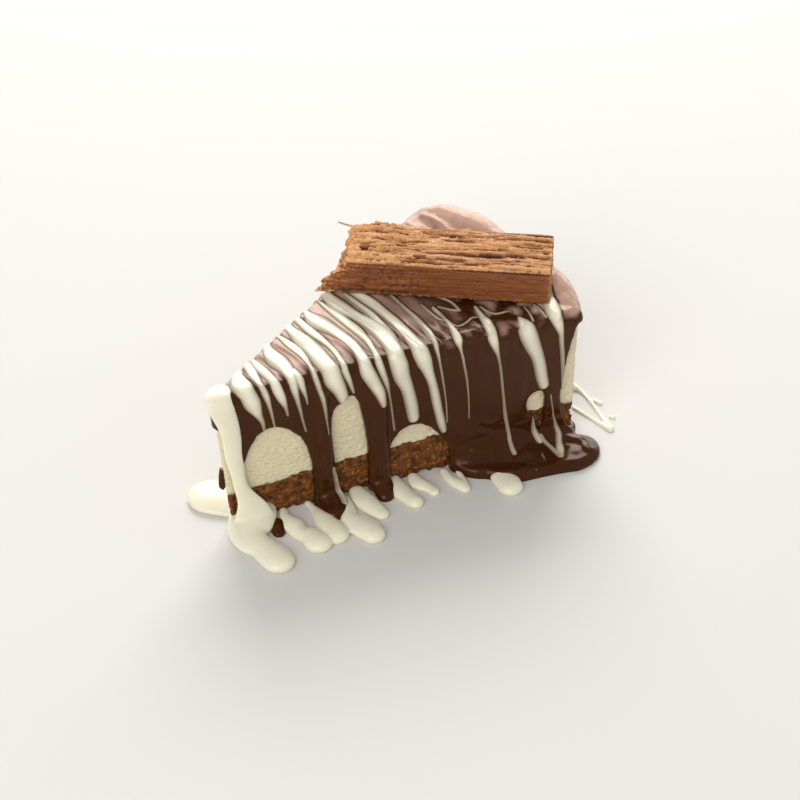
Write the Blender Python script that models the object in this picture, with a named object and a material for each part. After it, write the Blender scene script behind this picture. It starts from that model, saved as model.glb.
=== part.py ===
"""A slice of cheesecake under chocolate sauce, with white drizzle and a flaked chocolate bar.

The slice lies along X with its tip at -X, and stands on the floor at Z = 0. The near cut is
the one on the -Y side. Lengths are in millimetres, and MM turns them into Blender's metres.
"""

from collections import namedtuple
from math import asin, cos, pi, radians, sin

import bmesh
import bpy
from mathutils import Vector, noise

MM = 0.001
GAP = 0.3

# The slice: a tenth of a ten-inch cheesecake, whose cut sides lean out towards the top
TIP_X = -63.5
RIM_RADIUS = 125.0
HALF_ANGLE = radians(18.0)
CUT_LEAN = 1.7 / 50.0
SLICE_CORNER = 1.2
BASE_TOP = 15.0
FILLING_TOP = 51.0
FILLING_EDGE = 2.2
FILLING_EDGE_INSET = 0.8

# The sauce coat: its thickness, its top, and levels of (below the top, outward offset) that
# round its upper edge
COAT = 1.7
COAT_TOP = 53.7
COAT_EDGE = 4.0
COAT_CORNER = 3.2
COAT_ROUNDING = ((4.0, 1.7), (2.4, 1.3), (0.9, 0.4), (0.0, -0.9))
FLOOR_DEPTH = 3.0
LOWEST = -3.0 * FLOOR_DEPTH
WINDOW_DEPTH = 9.0
HEM_DEPTH = 4.0

# How finely curves are stepped: corner arcs, the rim's arc, and the sides of sauce runs
TIP_STEPS = 8
CORNER_STEPS = 5
RIM_STEPS = 14
STRIPE_SIDES = 8
RUN_SIDES = 10
LIP_SIDES = 12

# The drizzle stands this far above the coat
RIDGE_RISE = 1.6

# The flaked bar lies across the slice, from the far edge to the near outer corner
BAR_LENGTH = 67.0
BAR_DEPTH = 18.5
BAR_HEIGHT = 12.9
BAR_BACK_RISE = 1.8
BAR_FOOT = 7.5
BAR_BOTTOM = 54.8
BAR_PLACE = (31.4, -2.0)
BAR_TURN = radians(-46.4)
BAR_SEAT_MARGIN = 1.6
BAR_STEPS = (16, 5, 4)
BAR_ROUGHNESS = 0.7

# What shows through the sauce on the near cut: rows of (along the cut, lowest, highest)
NEAR_WINDOWS = {
    "window_tip": ((5.6, 13.0, 17.5), (8.7, 5.0, 30.6), (11.2, LOWEST, 35.9), (17.4, LOWEST, 37.4),
                   (25.8, LOWEST, 30.8), (30.0, LOWEST, 19.5), (30.6, LOWEST, 10.0)),
    "window_tall": ((36.4, 15.0, 26.0), (37.2, LOWEST, 38.5), (40.5, LOWEST, 41.4), (44.0, LOWEST, 41.8),
                    (47.3, LOWEST, 37.4), (49.3, LOWEST, 22.0), (49.8, LOWEST, 8.0)),
    "window_low": ((57.2, LOWEST, 15.5), (60.6, LOWEST, 21.0), (67.0, LOWEST, 23.2), (73.8, LOWEST, 18.4),
                   (80.8, LOWEST, 6.5)),
    "window_lens": ((106.8, 18.0, 20.8), (108.2, 15.5, 23.4), (111.0, 8.2, 23.9), (112.8, 9.4, 23.0),
                    (113.3, 14.0, 18.5)),
    "window_corner": ((119.4, 20.5, 24.0), (120.3, 14.0, 34.0), (122.0, 9.5, 42.0),
                      (123.8, 6.5, 47.0), (131.0, 6.5, 47.0)),
}

# The hem of the sauce on the hidden far cut and on the rim: (place, height, half width) of
# each tongue below a plain hem, in millimetres along the cut and in degrees round the rim.
# Each span is (start, stop, steps).
FAR_HEM = 41.0
FAR_HEM_SPAN = (5.0, 123.0, 59)
FAR_TONGUES = ((9.0, 22.0, 4.5), (26.0, 12.0, 5.0), (43.0, 27.0, 4.0), (58.0, 6.0, 5.5),
               (76.0, 20.0, 4.5), (93.0, 10.0, 5.0), (112.0, 24.0, 4.5))
RIM_HEM = 42.0
RIM_HEM_SPAN = (-16.6, 17.2, 52)
RIM_TONGUES = ((-8.0, 27.0, 1.6), (1.0, 15.0, 1.9), (8.5, 30.0, 1.5), (14.5, 8.0, 2.2))

# A drizzle stripe runs over the far edge, across the top and down the near cut. far and crease
# are distances from the tip; end is (along the near cut, height); widths are half widths.
Stripe = namedtuple("Stripe", "far crease end far_width crease_width end_width")
STRIPES = (
    Stripe(7.4, 9.4, (12.3, 41.0), 1.6, 1.9, 1.5),
    Stripe(14.6, 13.6, (17.0, 39.0), 1.2, 1.1, 0.8),
    Stripe(19.0, 19.4, (21.9, 40.5), 1.5, 1.9, 0.9),
    Stripe(25.0, 24.6, (27.9, 33.0), 1.4, 1.7, 0.7),
    Stripe(33.0, 31.8, (35.1, 30.0), 1.0, 1.0, 0.7),
    Stripe(38.0, 36.8, (41.0, 42.5), 2.2, 3.0, 2.6),
    Stripe(43.8, 43.0, (45.6, 43.5), 1.0, 1.1, 0.7),
    Stripe(48.4, 47.8, (54.4, 35.0), 2.0, 2.6, 1.9),
    Stripe(56.5, 56.0, (58.5, 24.0), 0.9, 1.0, 0.7),
    Stripe(61.0, 60.8, (66.2, 24.0), 2.3, 2.9, 1.9),
    Stripe(69.5, 67.4, (76.5, 19.0), 2.0, 2.3, 1.6),
    Stripe(77.5, 74.6, (77.9, 25.0), 1.0, 0.9, 0.6),
    Stripe(84.0, 82.4, (85.7, 24.0), 1.5, 1.8, 0.7),
    Stripe(94.0, 92.4, (99.9, 8.0), 1.8, 2.3, 0.8),
    Stripe(104.0, 105.4, (113.0, 25.0), 1.8, 2.3, 1.6),
    Stripe(114.0, 116.4, (119.6, 29.0), 1.9, 2.5, 0.8),
)

# Runs on the floor: rows of (along the cut, out from the cut, half width, rise). Side -1 is the
# near cut and side 1 the far cut. A run's widest level lies SUNK_SHARE of the rise up.
SUNK_SHARE = 0.3
Run = namedtuple("Run", "side rows")
SAUCE_RUNS = {
    "drip_foot_left": Run(-1, ((34.0, -2.5, 3.6, 6.0), (34.2, 3.0, 4.0, 5.0), (33.6, 8.5, 3.4, 3.2))),
    "drip_foot_right": Run(-1, ((53.8, -2.5, 3.8, 6.0), (54.0, 2.5, 3.9, 5.0), (53.8, 6.4, 3.2, 3.2))),
    "patch": Run(-1, ((11.5, 3.0, 3.0, 2.4), (15.0, 6.5, 3.0, 2.2), (14.0, 10.0, 2.2, 1.8))),
    "puddle_lobe": Run(-1, ((116.0, 8.0, 8.0, 3.8), (121.5, 9.4, 8.8, 3.8))),
    "tip_pool": Run(-1, ((4.0, 0.5, 6.0, 6.0), (7.6, 5.5, 7.8, 4.6), (8.4, 14.5, 5.6, 3.6),
                         (10.4, 25.4, 5.2, 3.8))),
    "pool_two": Run(-1, ((16.2, 7.0, 2.4, 2.4), (19.6, 13.0, 3.0, 2.8), (24.8, 20.6, 4.6, 3.4))),
    "pool_three": Run(-1, ((33.0, 9.5, 3.6, 2.8), (32.4, 14.0, 4.8, 3.2), (31.2, 19.6, 4.4, 3.0))),
    "pool_four": Run(-1, ((37.0, 9.0, 3.0, 2.8), (40.2, 16.0, 4.8, 3.4), (42.0, 23.2, 4.7, 3.4))),
    "pool_six": Run(-1, ((57.6, 3.0, 2.6, 2.6), (60.6, 9.0, 3.6, 3.2), (62.4, 14.8, 2.5, 2.6))),
    "pool_nine": Run(-1, ((93.6, 13.0, 3.4, 3.0), (94.2, 18.6, 4.6, 3.4))),
}
LOOSE_POOLS = {
    "white_pool_tip": Run(1, ((12.0, 7.8, 6.0, 3.2), (6.8, 13.2, 6.8, 3.6))),
    "white_pool_left": Run(-1, ((44.6, 3.5, 2.2, 2.4), (46.8, 9.0, 2.8, 2.9), (49.6, 15.6, 2.8, 2.8))),
    "white_pool_middle": Run(-1, ((65.8, 3.2, 2.2, 2.2), (67.4, 8.0, 2.5, 2.4), (69.0, 12.8, 1.8, 2.2))),
    "white_pool_right": Run(-1, ((74.9, 3.0, 1.9, 2.0), (76.8, 8.0, 2.3, 2.4), (79.4, 14.2, 1.9, 2.2))),
}

# The puddle's skirt at the foot of the near cut: rows of (along the cut, reach, height)
PUDDLE_SKIRT = ((80.0, 3.2, 6.0), (83.0, 9.0, 8.0), (89.0, 11.5, 10.0), (96.0, 16.2, 10.0),
                (104.0, 17.2, 9.0), (112.0, 18.0, 9.0), (119.0, 19.0, 8.0), (124.5, 17.6, 6.0))
SKIRT_RISE = 3.2

# The two thick drips between the windows: rows of (along the near cut, height, half width)
NEAR_DRIPS = {
    "drip_left": ((34.4, 42.0, 2.2), (34.2, 30.0, 2.6), (34.2, 16.0, 3.0), (34.2, 4.0, 3.6)),
    "drip_right": ((53.4, 36.0, 2.4), (53.6, 26.0, 2.8), (53.8, 14.0, 3.2), (53.8, 4.0, 3.8)),
}
DRIP_RISE = 1.9
DRIP_SUNK = 0.4

# The strokes of the splash behind the rim: rows of (x, y, half width, rise)
SPLASH_STROKES = (
    ((73.6, -19.5, 2.3, 1.8), (74.4, -24.0, 0.9, 1.0), (70.4, -37.0, 0.8, 1.0), (67.4, -45.0, 1.5, 1.4)),
    ((66.0, -28.6, 0.8, 1.0), (66.4, -37.0, 0.7, 0.9), (67.0, -45.6, 1.3, 1.2)),
)

# The broad stripe over the tip. Over its top edges it has rows of (side, along the cut, out
# from the cut, height, half width); down the near cut, of (along, out, height, half width).
TIP_STRIPE_OVER = ((1, 6.0, 0.7, 48.7, 2.6), (1, 3.4, -0.8, 52.9, 3.8), (-1, -2.2, -3.0, 53.7, 4.8),
                   (-1, 0.8, 0.1, 52.3, 4.5))
TIP_STRIPE_DOWN = ((1.3, 1.7, 46.7, 4.1), (2.8, 1.7, 38.0, 3.6), (3.8, 1.7, 26.0, 3.2),
                   (4.6, 1.7, 15.0, 3.3), (5.6, 2.3, 7.0, 4.6), (6.4, 3.1, 1.5, 6.0))

# The lip of sauce along the rim: rows of (degrees, inset, height of its middle, half width,
# half height)
RIM_LIP = ((16.6, 2.2, 51.5, 5.0, 3.6), (12.5, 1.5, 52.0, 6.0, 4.8), (8.0, 1.5, 52.0, 6.0, 4.4),
           (3.0, 2.0, 51.8, 5.5, 3.7), (-3.0, 2.0, 51.8, 5.5, 3.7), (-9.0, 1.5, 52.2, 6.0, 5.2),
           (-13.0, 1.6, 52.0, 5.8, 4.4), (-16.2, 2.2, 51.2, 4.8, 3.4))

COLOURS = {
    "biscuit_base": ((0.30, 0.13, 0.035, 1.0), 0.9),
    "cream_filling": ((0.72, 0.64, 0.48, 1.0), 0.7),
    "chocolate_sauce": ((0.085, 0.028, 0.012, 1.0), 0.25),
    "flaked_bar": ((0.34, 0.155, 0.07, 1.0), 0.7),
    "white_sauce": ((0.82, 0.79, 0.66, 1.0), 0.3),
}


def clear_scene():
    """Remove whatever objects the file starts with."""
    for leftover in list(bpy.data.objects):
        bpy.data.objects.remove(leftover, do_unlink=True)


def new_collection(name):
    """Add a collection to the scene."""
    group = bpy.data.collections.new(name)
    bpy.context.scene.collection.children.link(group)
    return group


def paint(piece, colour_name):
    """Give the piece a material of its own."""
    colour, roughness = COLOURS[colour_name]
    material = bpy.data.materials.new(piece.name)
    material.use_nodes = True
    shader = material.node_tree.nodes["Principled BSDF"]
    shader.inputs["Base Color"].default_value = colour
    shader.inputs["Roughness"].default_value = roughness
    material.diffuse_color = colour
    piece.data.materials.clear()
    piece.data.materials.append(material)


def loft(name, rings, group):
    """Make a closed body through rings of points that match one to one."""
    shape = bmesh.new()
    order = shape.verts.layers.int.new("order")
    for index, point in enumerate(rings[0]):
        shape.verts.new(point * MM)[order] = index
    bmesh.ops.contextual_create(shape, geom=shape.verts[:])
    end = shape.faces[:]
    inner = []
    for ring in rings[1:]:
        grown = bmesh.ops.extrude_face_region(shape, geom=end)["geom"]
        end = [item for item in grown if isinstance(item, bmesh.types.BMFace)]
        inner += end
        for vertex in (item for item in grown if isinstance(item, bmesh.types.BMVert)):
            vertex.co = ring[vertex[order]] * MM
    bmesh.ops.delete(shape, geom=inner[:-1], context="FACES_ONLY")
    bmesh.ops.recalc_face_normals(shape, faces=shape.faces[:])
    mesh = bpy.data.meshes.new(name)
    shape.to_mesh(mesh)
    shape.free()
    piece = bpy.data.objects.new(name, mesh)
    group.objects.link(piece)
    return piece


def add_boolean(piece, operation, other):
    """Cut the piece with another object, or join one to it."""
    change = piece.modifiers.new(operation.title(), "BOOLEAN")
    change.operation = operation
    change.object = other


def join_collection(piece, group):
    """Join a whole collection of closed, crossing pieces to the piece."""
    change = piece.modifiers.new("Join", "BOOLEAN")
    change.operation = "UNION"
    change.operand_type = "COLLECTION"
    change.collection = group
    change.solver = "MANIFOLD"


def hide_cutter(piece):
    """Show a cutter as wires only, and leave it out of the model."""
    piece.hide_render = True
    piece.display_type = "WIRE"


def cut_frame(side):
    """Return the direction along a cut from the tip, and its outward normal."""
    along = Vector((cos(HALF_ANGLE), side * sin(HALF_ANGLE), 0.0))
    outward = Vector((-sin(HALF_ANGLE), side * cos(HALF_ANGLE), 0.0))
    return along, outward


def cut_point(side, distance, out, height):
    """Return the point at a distance along a cut, out from its leaning face."""
    along, outward = cut_frame(side)
    lean = CUT_LEAN * height
    return Vector((TIP_X, 0.0, height)) + along * distance + outward * (out + lean)


def rim_point(angle, out, height):
    """Return the point at an angle round the rim, out from its face."""
    radius = RIM_RADIUS + out
    return Vector((TIP_X + radius * cos(angle), radius * sin(angle), height))


def round_corner(centre, radius, start, stop, steps):
    """Return the points of an arc about a corner's centre."""
    angles = (start + (stop - start) * step / steps for step in range(steps + 1))
    return [centre + Vector((cos(angle), sin(angle), 0.0)) * radius for angle in angles]


def slice_outline(out, corner, height):
    """Return the slice's plan outline at a height, moved out and with round corners."""
    normal = pi / 2.0 + HALF_ANGLE
    inset = corner - out - CUT_LEAN * height
    radius = RIM_RADIUS + out - corner
    reach = HALF_ANGLE - asin(inset / radius)
    origin = Vector((TIP_X, 0.0, height))
    tip = origin + Vector((inset / sin(HALF_ANGLE), 0.0, 0.0))
    near = origin + Vector((cos(reach), -sin(reach), 0.0)) * radius
    far = origin + Vector((cos(reach), sin(reach), 0.0)) * radius
    points = round_corner(tip, corner, normal, 2.0 * pi - normal, TIP_STEPS)
    points += round_corner(near, corner, -normal, -reach, CORNER_STEPS)
    points += round_corner(origin, radius + corner, -reach, reach, RIM_STEPS)[1:-1]
    points += round_corner(far, corner, reach, normal, CORNER_STEPS)
    return points


def slice_body(name, levels, corner, group):
    """Make a body of the slice's outline from levels of (height, outward offset)."""
    rings = [slice_outline(out, corner, height) for height, out in levels]
    return loft(name, rings, group)


def smooth_rows(rows, steps):
    """Return rows of numbers on a smooth curve through the given rows."""
    rows = [Vector(row) for row in rows]
    padded = [2.0 * rows[0] - rows[1]] + rows + [2.0 * rows[-1] - rows[-2]]
    result = [rows[0]]
    for start in range(1, len(rows)):
        before, first, last, after = padded[start - 1:start + 3]
        for step in range(1, steps + 1):
            t = step / steps
            slope_in = (last - before) * 0.5
            slope_out = (after - first) * 0.5
            result.append(first * (2.0 * t**3 - 3.0 * t**2 + 1.0) + slope_in * (t**3 - 2.0 * t**2 + t)
                          + last * (3.0 * t**2 - 2.0 * t**3) + slope_out * (t**3 - t**2))
    return result


def round_end(path, end, beyond):
    """Return the stations that close a path's end in a half round, from the tip inwards."""
    centre, up, half_width, half_height = path[end]
    ahead = (centre - path[beyond][0]).normalized()
    stations = []
    for degrees in (78.0, 48.0):
        share = cos(radians(degrees))
        reach = sin(radians(degrees)) * half_width
        stations.append((centre + ahead * reach, up, half_width * share, half_height * share))
    return stations


def ribbon(name, path, sides, group):
    """Loft an ellipse along a path of (centre, up, half width, half height), with round ends."""
    path = round_end(path, 0, 1) + path + round_end(path, -1, -2)[::-1]
    rings = []
    last = len(path) - 1
    angles = [2.0 * pi * side / sides for side in range(sides)]
    for index, (centre, up, half_width, half_height) in enumerate(path):
        ahead = path[min(index + 1, last)][0] - path[max(index - 1, 0)][0]
        across = ahead.cross(up).normalized()
        rings.append([centre + across * (cos(angle) * half_width)
                      + up * (sin(angle) * half_height) for angle in angles])
    return loft(name, rings, group)


def floor_run(name, run, group):
    """Make a run of sauce on the floor, sunk a little so that its sides bulge."""
    path = []
    for distance, out, half_width, rise in smooth_rows(run.rows, 3):
        centre = cut_point(run.side, distance, out, 0.0)
        centre.z = SUNK_SHARE * rise
        path.append((centre, Vector((0.0, 0.0, 1.0)), half_width, rise - centre.z))
    return ribbon(name, path, RUN_SIDES, group)


def stripe_path(stripe):
    """Return the path of a drizzle stripe over the coat, with its changing width."""
    _, far_normal = cut_frame(1)
    _, near_normal = cut_frame(-1)
    top = Vector((0.0, 0.0, 1.0))
    far_place = stripe.far / cos(HALF_ANGLE)
    crease_place = stripe.crease / cos(HALF_ANGLE)
    end_place, end_height = stripe.end
    edge = 0.3 * COAT_EDGE
    far_edge = cut_point(1, far_place, COAT - 0.6 * edge, COAT_TOP - 0.7 * edge)
    near_edge = cut_point(-1, crease_place, COAT - edge, COAT_TOP - edge)
    far_top = cut_point(1, far_place, COAT - COAT_EDGE, COAT_TOP)
    near_top = cut_point(-1, crease_place - 0.6, COAT - COAT_EDGE, COAT_TOP)
    middle = (far_top + near_top) * 0.5 + Vector((1.2, 0.0, 0.0))
    shoulder = COAT_TOP - 1.4 * COAT_EDGE
    mid_place = 0.6 * crease_place + 0.4 * end_place
    far_w, near_w, end_w = stripe.far_width, stripe.crease_width, stripe.end_width
    rows = [
        (cut_point(1, far_place, COAT + 0.3, shoulder), far_normal, far_w),
        (far_edge, (far_normal + top).normalized(), far_w),
        (far_top, top, far_w),
        (middle, top, 0.5 * (far_w + near_w)),
        (near_top, top, near_w),
        (near_edge, (near_normal + top).normalized(), near_w),
        (cut_point(-1, mid_place, COAT, shoulder), near_normal, 0.5 * (near_w + end_w)),
        (cut_point(-1, 0.3 * mid_place + 0.7 * end_place, COAT, 0.4 * shoulder + 0.6 * end_height),
         near_normal, end_w),
        (cut_point(-1, end_place, COAT, end_height), near_normal, end_w),
    ]
    return [(centre, up, half_width, min(RIDGE_RISE, half_width)) for centre, up, half_width in rows]


def tip_stripe_path():
    """Return the path of the broad stripe that covers the tip and runs into its pool."""
    top = Vector((0.0, 0.0, 1.0))
    path = []
    for side, distance, out, height, half_width in TIP_STRIPE_OVER:
        outward = cut_frame(side)[1]
        flatness = (height - FILLING_TOP + FILLING_EDGE) / COAT
        up = (outward + top * max(0.0, flatness)).normalized()
        path.append((cut_point(side, distance, out, height), up, half_width, RIDGE_RISE))
    outward = cut_frame(-1)[1]
    for distance, out, height, half_width in TIP_STRIPE_DOWN:
        path.append((cut_point(-1, distance, out, height), outward, half_width, RIDGE_RISE))
    return path


def opening_cutter(name, place, rows, depth, group):
    """Make a cutter through one side of the coat from rows of (place, lowest, highest)."""
    rings = []
    for distance, lowest, highest in rows:
        rings.append([place(distance, -depth, lowest), place(distance, depth, lowest),
                      place(distance, depth, highest), place(distance, -depth, highest)])
    cutter = loft(name, rings, group)
    hide_cutter(cutter)
    return cutter


def hem_height(place, hem, tongues):
    """Return the height of the sauce's lower edge, with round tongues hanging below it."""
    height = hem
    for centre, tip, half_width in tongues:
        reach = abs(place - centre) / half_width
        if reach < 1.0:
            height = min(height, tip + (hem - tip) * reach**4)
    return height


def hem_rows(start, stop, steps, hem, tongues):
    """Return the rows of a cutter that leaves the hem and its tongues."""
    places = [start + (stop - start) * step / steps for step in range(steps + 1)]
    return [(place, LOWEST, hem_height(place, hem, tongues)) for place in places]


def coat_cutters(group):
    """Return the cutters that open the coat on the near cut, the far cut and the rim."""

    def near(distance, out, height):
        return cut_point(-1, distance, out, height)

    def far(distance, out, height):
        return cut_point(1, distance, out, height)

    def rim(degrees, out, height):
        return rim_point(radians(degrees), out, height)

    cutters = [opening_cutter(name, near, rows, WINDOW_DEPTH, group)
               for name, rows in NEAR_WINDOWS.items()]
    far_rows = hem_rows(*FAR_HEM_SPAN, FAR_HEM, FAR_TONGUES)
    rim_rows = hem_rows(*RIM_HEM_SPAN, RIM_HEM, RIM_TONGUES)
    cutters.append(opening_cutter("far_hem", far, far_rows, HEM_DEPTH, group))
    cutters.append(opening_cutter("rim_hem", rim, rim_rows, HEM_DEPTH, group))
    return cutters


def floor_cutter(group):
    """Return a slab that trims everything below the floor."""
    reach = RIM_RADIUS
    corners = ((-reach, -reach), (reach, -reach), (reach, reach), (-reach, reach))
    rings = [[Vector((x, y, height)) for x, y in corners] for height in (2.0 * LOWEST, 0.0)]
    slab = loft("below_floor", rings, group)
    hide_cutter(slab)
    return slab


def core_cutter(group):
    """Return the room that the base and the filling take inside the sauce."""
    levels = ((-FLOOR_DEPTH, GAP), (FILLING_TOP - FILLING_EDGE, GAP),
              (FILLING_TOP + GAP, GAP - FILLING_EDGE_INSET))
    core = slice_body("core_room", levels, SLICE_CORNER + GAP, group)
    hide_cutter(core)
    return core


def rim_lip(group):
    """Make the thick lip of sauce that stands along the rim and hangs over it."""
    path = []
    for degrees, inset, middle, half_width, half_height in RIM_LIP:
        centre = rim_point(radians(degrees), -inset, middle)
        path.append((centre, Vector((0.0, 0.0, 1.0)), half_width, half_height))
    return ribbon("rim_lip", path, LIP_SIDES, group)


def puddle_skirt(group):
    """Make the puddle that spreads from the foot of the near cut."""
    rings = []
    for distance, reach, height in PUDDLE_SKIRT:
        profile = ((-GAP, -FLOOR_DEPTH), (reach - 0.8, -FLOOR_DEPTH), (reach, 0.3 * SKIRT_RISE),
                   (reach - 0.9, 0.7 * SKIRT_RISE), (0.7 * reach, SKIRT_RISE),
                   (0.3 * reach, SKIRT_RISE + 0.2 * height), (COAT, height), (-GAP, height))
        rings.append([cut_point(-1, distance, out, level) for out, level in profile])
    return loft("puddle_skirt", rings, group)


def near_drips(group):
    """Make the thick drips that run down the near cut between its windows."""
    _, outward = cut_frame(-1)
    for name, rows in NEAR_DRIPS.items():
        path = [(cut_point(-1, distance, COAT - DRIP_SUNK, height), outward, half_width, DRIP_RISE)
                for distance, height, half_width in rows]
        ribbon(name, path, RUN_SIDES, group)


def bar_seat(group):
    """Return a cutter that flattens the wet sauce under the flaked bar."""
    half_length = 0.5 * BAR_LENGTH + BAR_FOOT + BAR_SEAT_MARGIN
    half_depth = 0.5 * BAR_DEPTH + BAR_SEAT_MARGIN
    corners = ((-half_length, -half_depth), (half_length - BAR_FOOT, -half_depth),
               (half_length - BAR_FOOT, half_depth), (-half_length, half_depth))
    along = Vector((cos(BAR_TURN), sin(BAR_TURN), 0.0))
    across = Vector((-sin(BAR_TURN), cos(BAR_TURN), 0.0))
    middle = Vector((BAR_PLACE[0], BAR_PLACE[1], 0.0))
    rings = []
    for height in (BAR_BOTTOM - GAP, BAR_BOTTOM + BAR_HEIGHT):
        level = middle + Vector((0.0, 0.0, height))
        rings.append([level + along * x + across * y for x, y in corners])
    seat = loft("bar_seat", rings, group)
    hide_cutter(seat)
    return seat


def make_sauce(model, cutters, toppings, slab):
    """Make the sauce coat with its drips, puddle, drizzle and the pools that touch it."""
    levels = [(-FLOOR_DEPTH, COAT)] + [(COAT_TOP - below, out) for below, out in COAT_ROUNDING]
    sauce = slice_body("chocolate_sauce", levels, COAT_CORNER, model)
    for cutter in coat_cutters(cutters):
        add_boolean(sauce, "DIFFERENCE", cutter)
    for index, stripe in enumerate(STRIPES):
        ribbon(f"stripe_{index}", stripe_path(stripe), STRIPE_SIDES, toppings)
    ribbon("stripe_tip", tip_stripe_path(), RUN_SIDES, toppings)
    for name, run in SAUCE_RUNS.items():
        floor_run(name, run, toppings)
    rim_lip(toppings)
    puddle_skirt(toppings)
    near_drips(toppings)
    join_collection(sauce, toppings)
    add_boolean(sauce, "DIFFERENCE", bar_seat(cutters))
    add_boolean(sauce, "DIFFERENCE", core_cutter(cutters))
    add_boolean(sauce, "DIFFERENCE", slab)
    apply_modifiers(sauce)
    for topping in list(toppings.objects):
        bpy.data.objects.remove(topping, do_unlink=True)
    bpy.data.collections.remove(toppings)
    paint(sauce, "chocolate_sauce")


def apply_modifiers(piece):
    """Replace the piece's mesh with what its modifiers make of it."""
    view = bpy.context.evaluated_depsgraph_get()
    view.update()
    result = bpy.data.meshes.new_from_object(piece.evaluated_get(view))
    piece.modifiers.clear()
    piece.data = result


def make_slice(model):
    """Make the biscuit base and the cream filling on it."""
    base_levels = ((0.0, 0.0), (BASE_TOP - GAP, 0.0))
    base = slice_body("biscuit_base", base_levels, SLICE_CORNER, model)
    paint(base, "biscuit_base")
    filling_levels = ((BASE_TOP, 0.0), (FILLING_TOP - FILLING_EDGE, 0.0),
                      (FILLING_TOP, -FILLING_EDGE_INSET))
    filling = slice_body("cream_filling", filling_levels, SLICE_CORNER, model)
    paint(filling, "cream_filling")


def make_pools(model, slab):
    """Make the white pools and the splash that lie on the floor clear of the sauce."""
    for name, run in LOOSE_POOLS.items():
        pool = floor_run(name, run, model)
        add_boolean(pool, "DIFFERENCE", slab)
        paint(pool, "white_sauce")
    strokes = []
    for index, rows in enumerate(SPLASH_STROKES):
        path = [(Vector((x, y, SUNK_SHARE * rise)), Vector((0.0, 0.0, 1.0)), half_width,
                 (1.0 - SUNK_SHARE) * rise) for x, y, half_width, rise in smooth_rows(rows, 3)]
        strokes.append(ribbon(f"splash_stroke_{index}", path, STRIPE_SIDES, model))
    splash, second = strokes
    splash.name = "white_splash"
    add_boolean(splash, "UNION", second)
    add_boolean(splash, "DIFFERENCE", slab)
    apply_modifiers(splash)
    bpy.data.objects.remove(second, do_unlink=True)
    paint(splash, "white_sauce")


def flake_offset(point):
    """Return how far the bar's surface moves at a point, in long ridges along the bar."""
    ridges = noise.noise(Vector((point.x * 0.05, point.y * 0.6, point.z * 0.6 + 4.0)))
    crumbs = noise.noise(Vector((point.x * 0.3, point.y * 0.4, point.z * 0.4 + 9.0)))
    return BAR_ROUGHNESS * (1.6 * ridges + 0.8 * crumbs)


def make_bar(model):
    """Make the flaked bar: a rough block with a broken end and one cut end."""
    bpy.ops.mesh.primitive_cube_add(size=1.0)
    bar = bpy.context.object
    bar.name = "flaked_bar"
    shape = bmesh.new()
    shape.from_mesh(bar.data)
    lengths = Vector((BAR_LENGTH, BAR_DEPTH, BAR_HEIGHT))
    for axis, steps in enumerate(BAR_STEPS):
        for step in range(1, steps):
            spot = Vector((0.0, 0.0, 0.0))
            spot[axis] = step / steps - 0.5
            normal = Vector((0.0, 0.0, 0.0))
            normal[axis] = 1.0
            geometry = shape.verts[:] + shape.edges[:] + shape.faces[:]
            bmesh.ops.bisect_plane(shape, geom=geometry, plane_co=spot, plane_no=normal)
    for vertex in shape.verts:
        place = Vector([vertex.co[axis] * lengths[axis] for axis in range(3)])
        share = Vector([2.0 * vertex.co[axis] for axis in range(3)])
        height = share.z * 0.5 + 0.5
        broken = max(0.0, -share.x - 0.7) / 0.3
        front = 0.5 - 0.5 * share.y
        shove = flake_offset(place)
        place.x -= broken * (BAR_FOOT * front * (1.0 - height) + 2.4 * shove)
        place.y += share.y * shove
        place.z += height * (BAR_BACK_RISE * (1.0 - front) + shove)
        vertex.co = place * MM
    shape.to_mesh(bar.data)
    shape.free()
    bar.location = Vector((BAR_PLACE[0], BAR_PLACE[1], BAR_BOTTOM + 0.5 * BAR_HEIGHT)) * MM
    bar.rotation_euler.z = BAR_TURN
    for group in list(bar.users_collection):
        group.objects.unlink(bar)
    model.objects.link(bar)
    paint(bar, "flaked_bar")


def main():
    """Build the whole slice."""
    clear_scene()
    model = new_collection("cheesecake_slice")
    cutters = new_collection("cutters")
    toppings = new_collection("toppings")
    slab = floor_cutter(cutters)
    make_slice(model)
    make_sauce(model, cutters, toppings, slab)
    make_pools(model, slab)
    make_bar(model)


main()
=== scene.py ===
"""A slice of cheesecake under chocolate sauce, with white drizzle and a flaked chocolate bar.

Lengths are in millimetres unless a name says otherwise, and MM turns them into metres.
"""

from collections import namedtuple
from math import asin, cos, degrees, floor, pi, radians, sin
from random import Random

import bmesh
import bpy
from bpy.props import FloatProperty, FloatVectorProperty, IntProperty, PointerProperty
from mathutils import Matrix, Vector, noise
from mathutils.bvhtree import BVHTree
from mathutils.kdtree import KDTree


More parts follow.
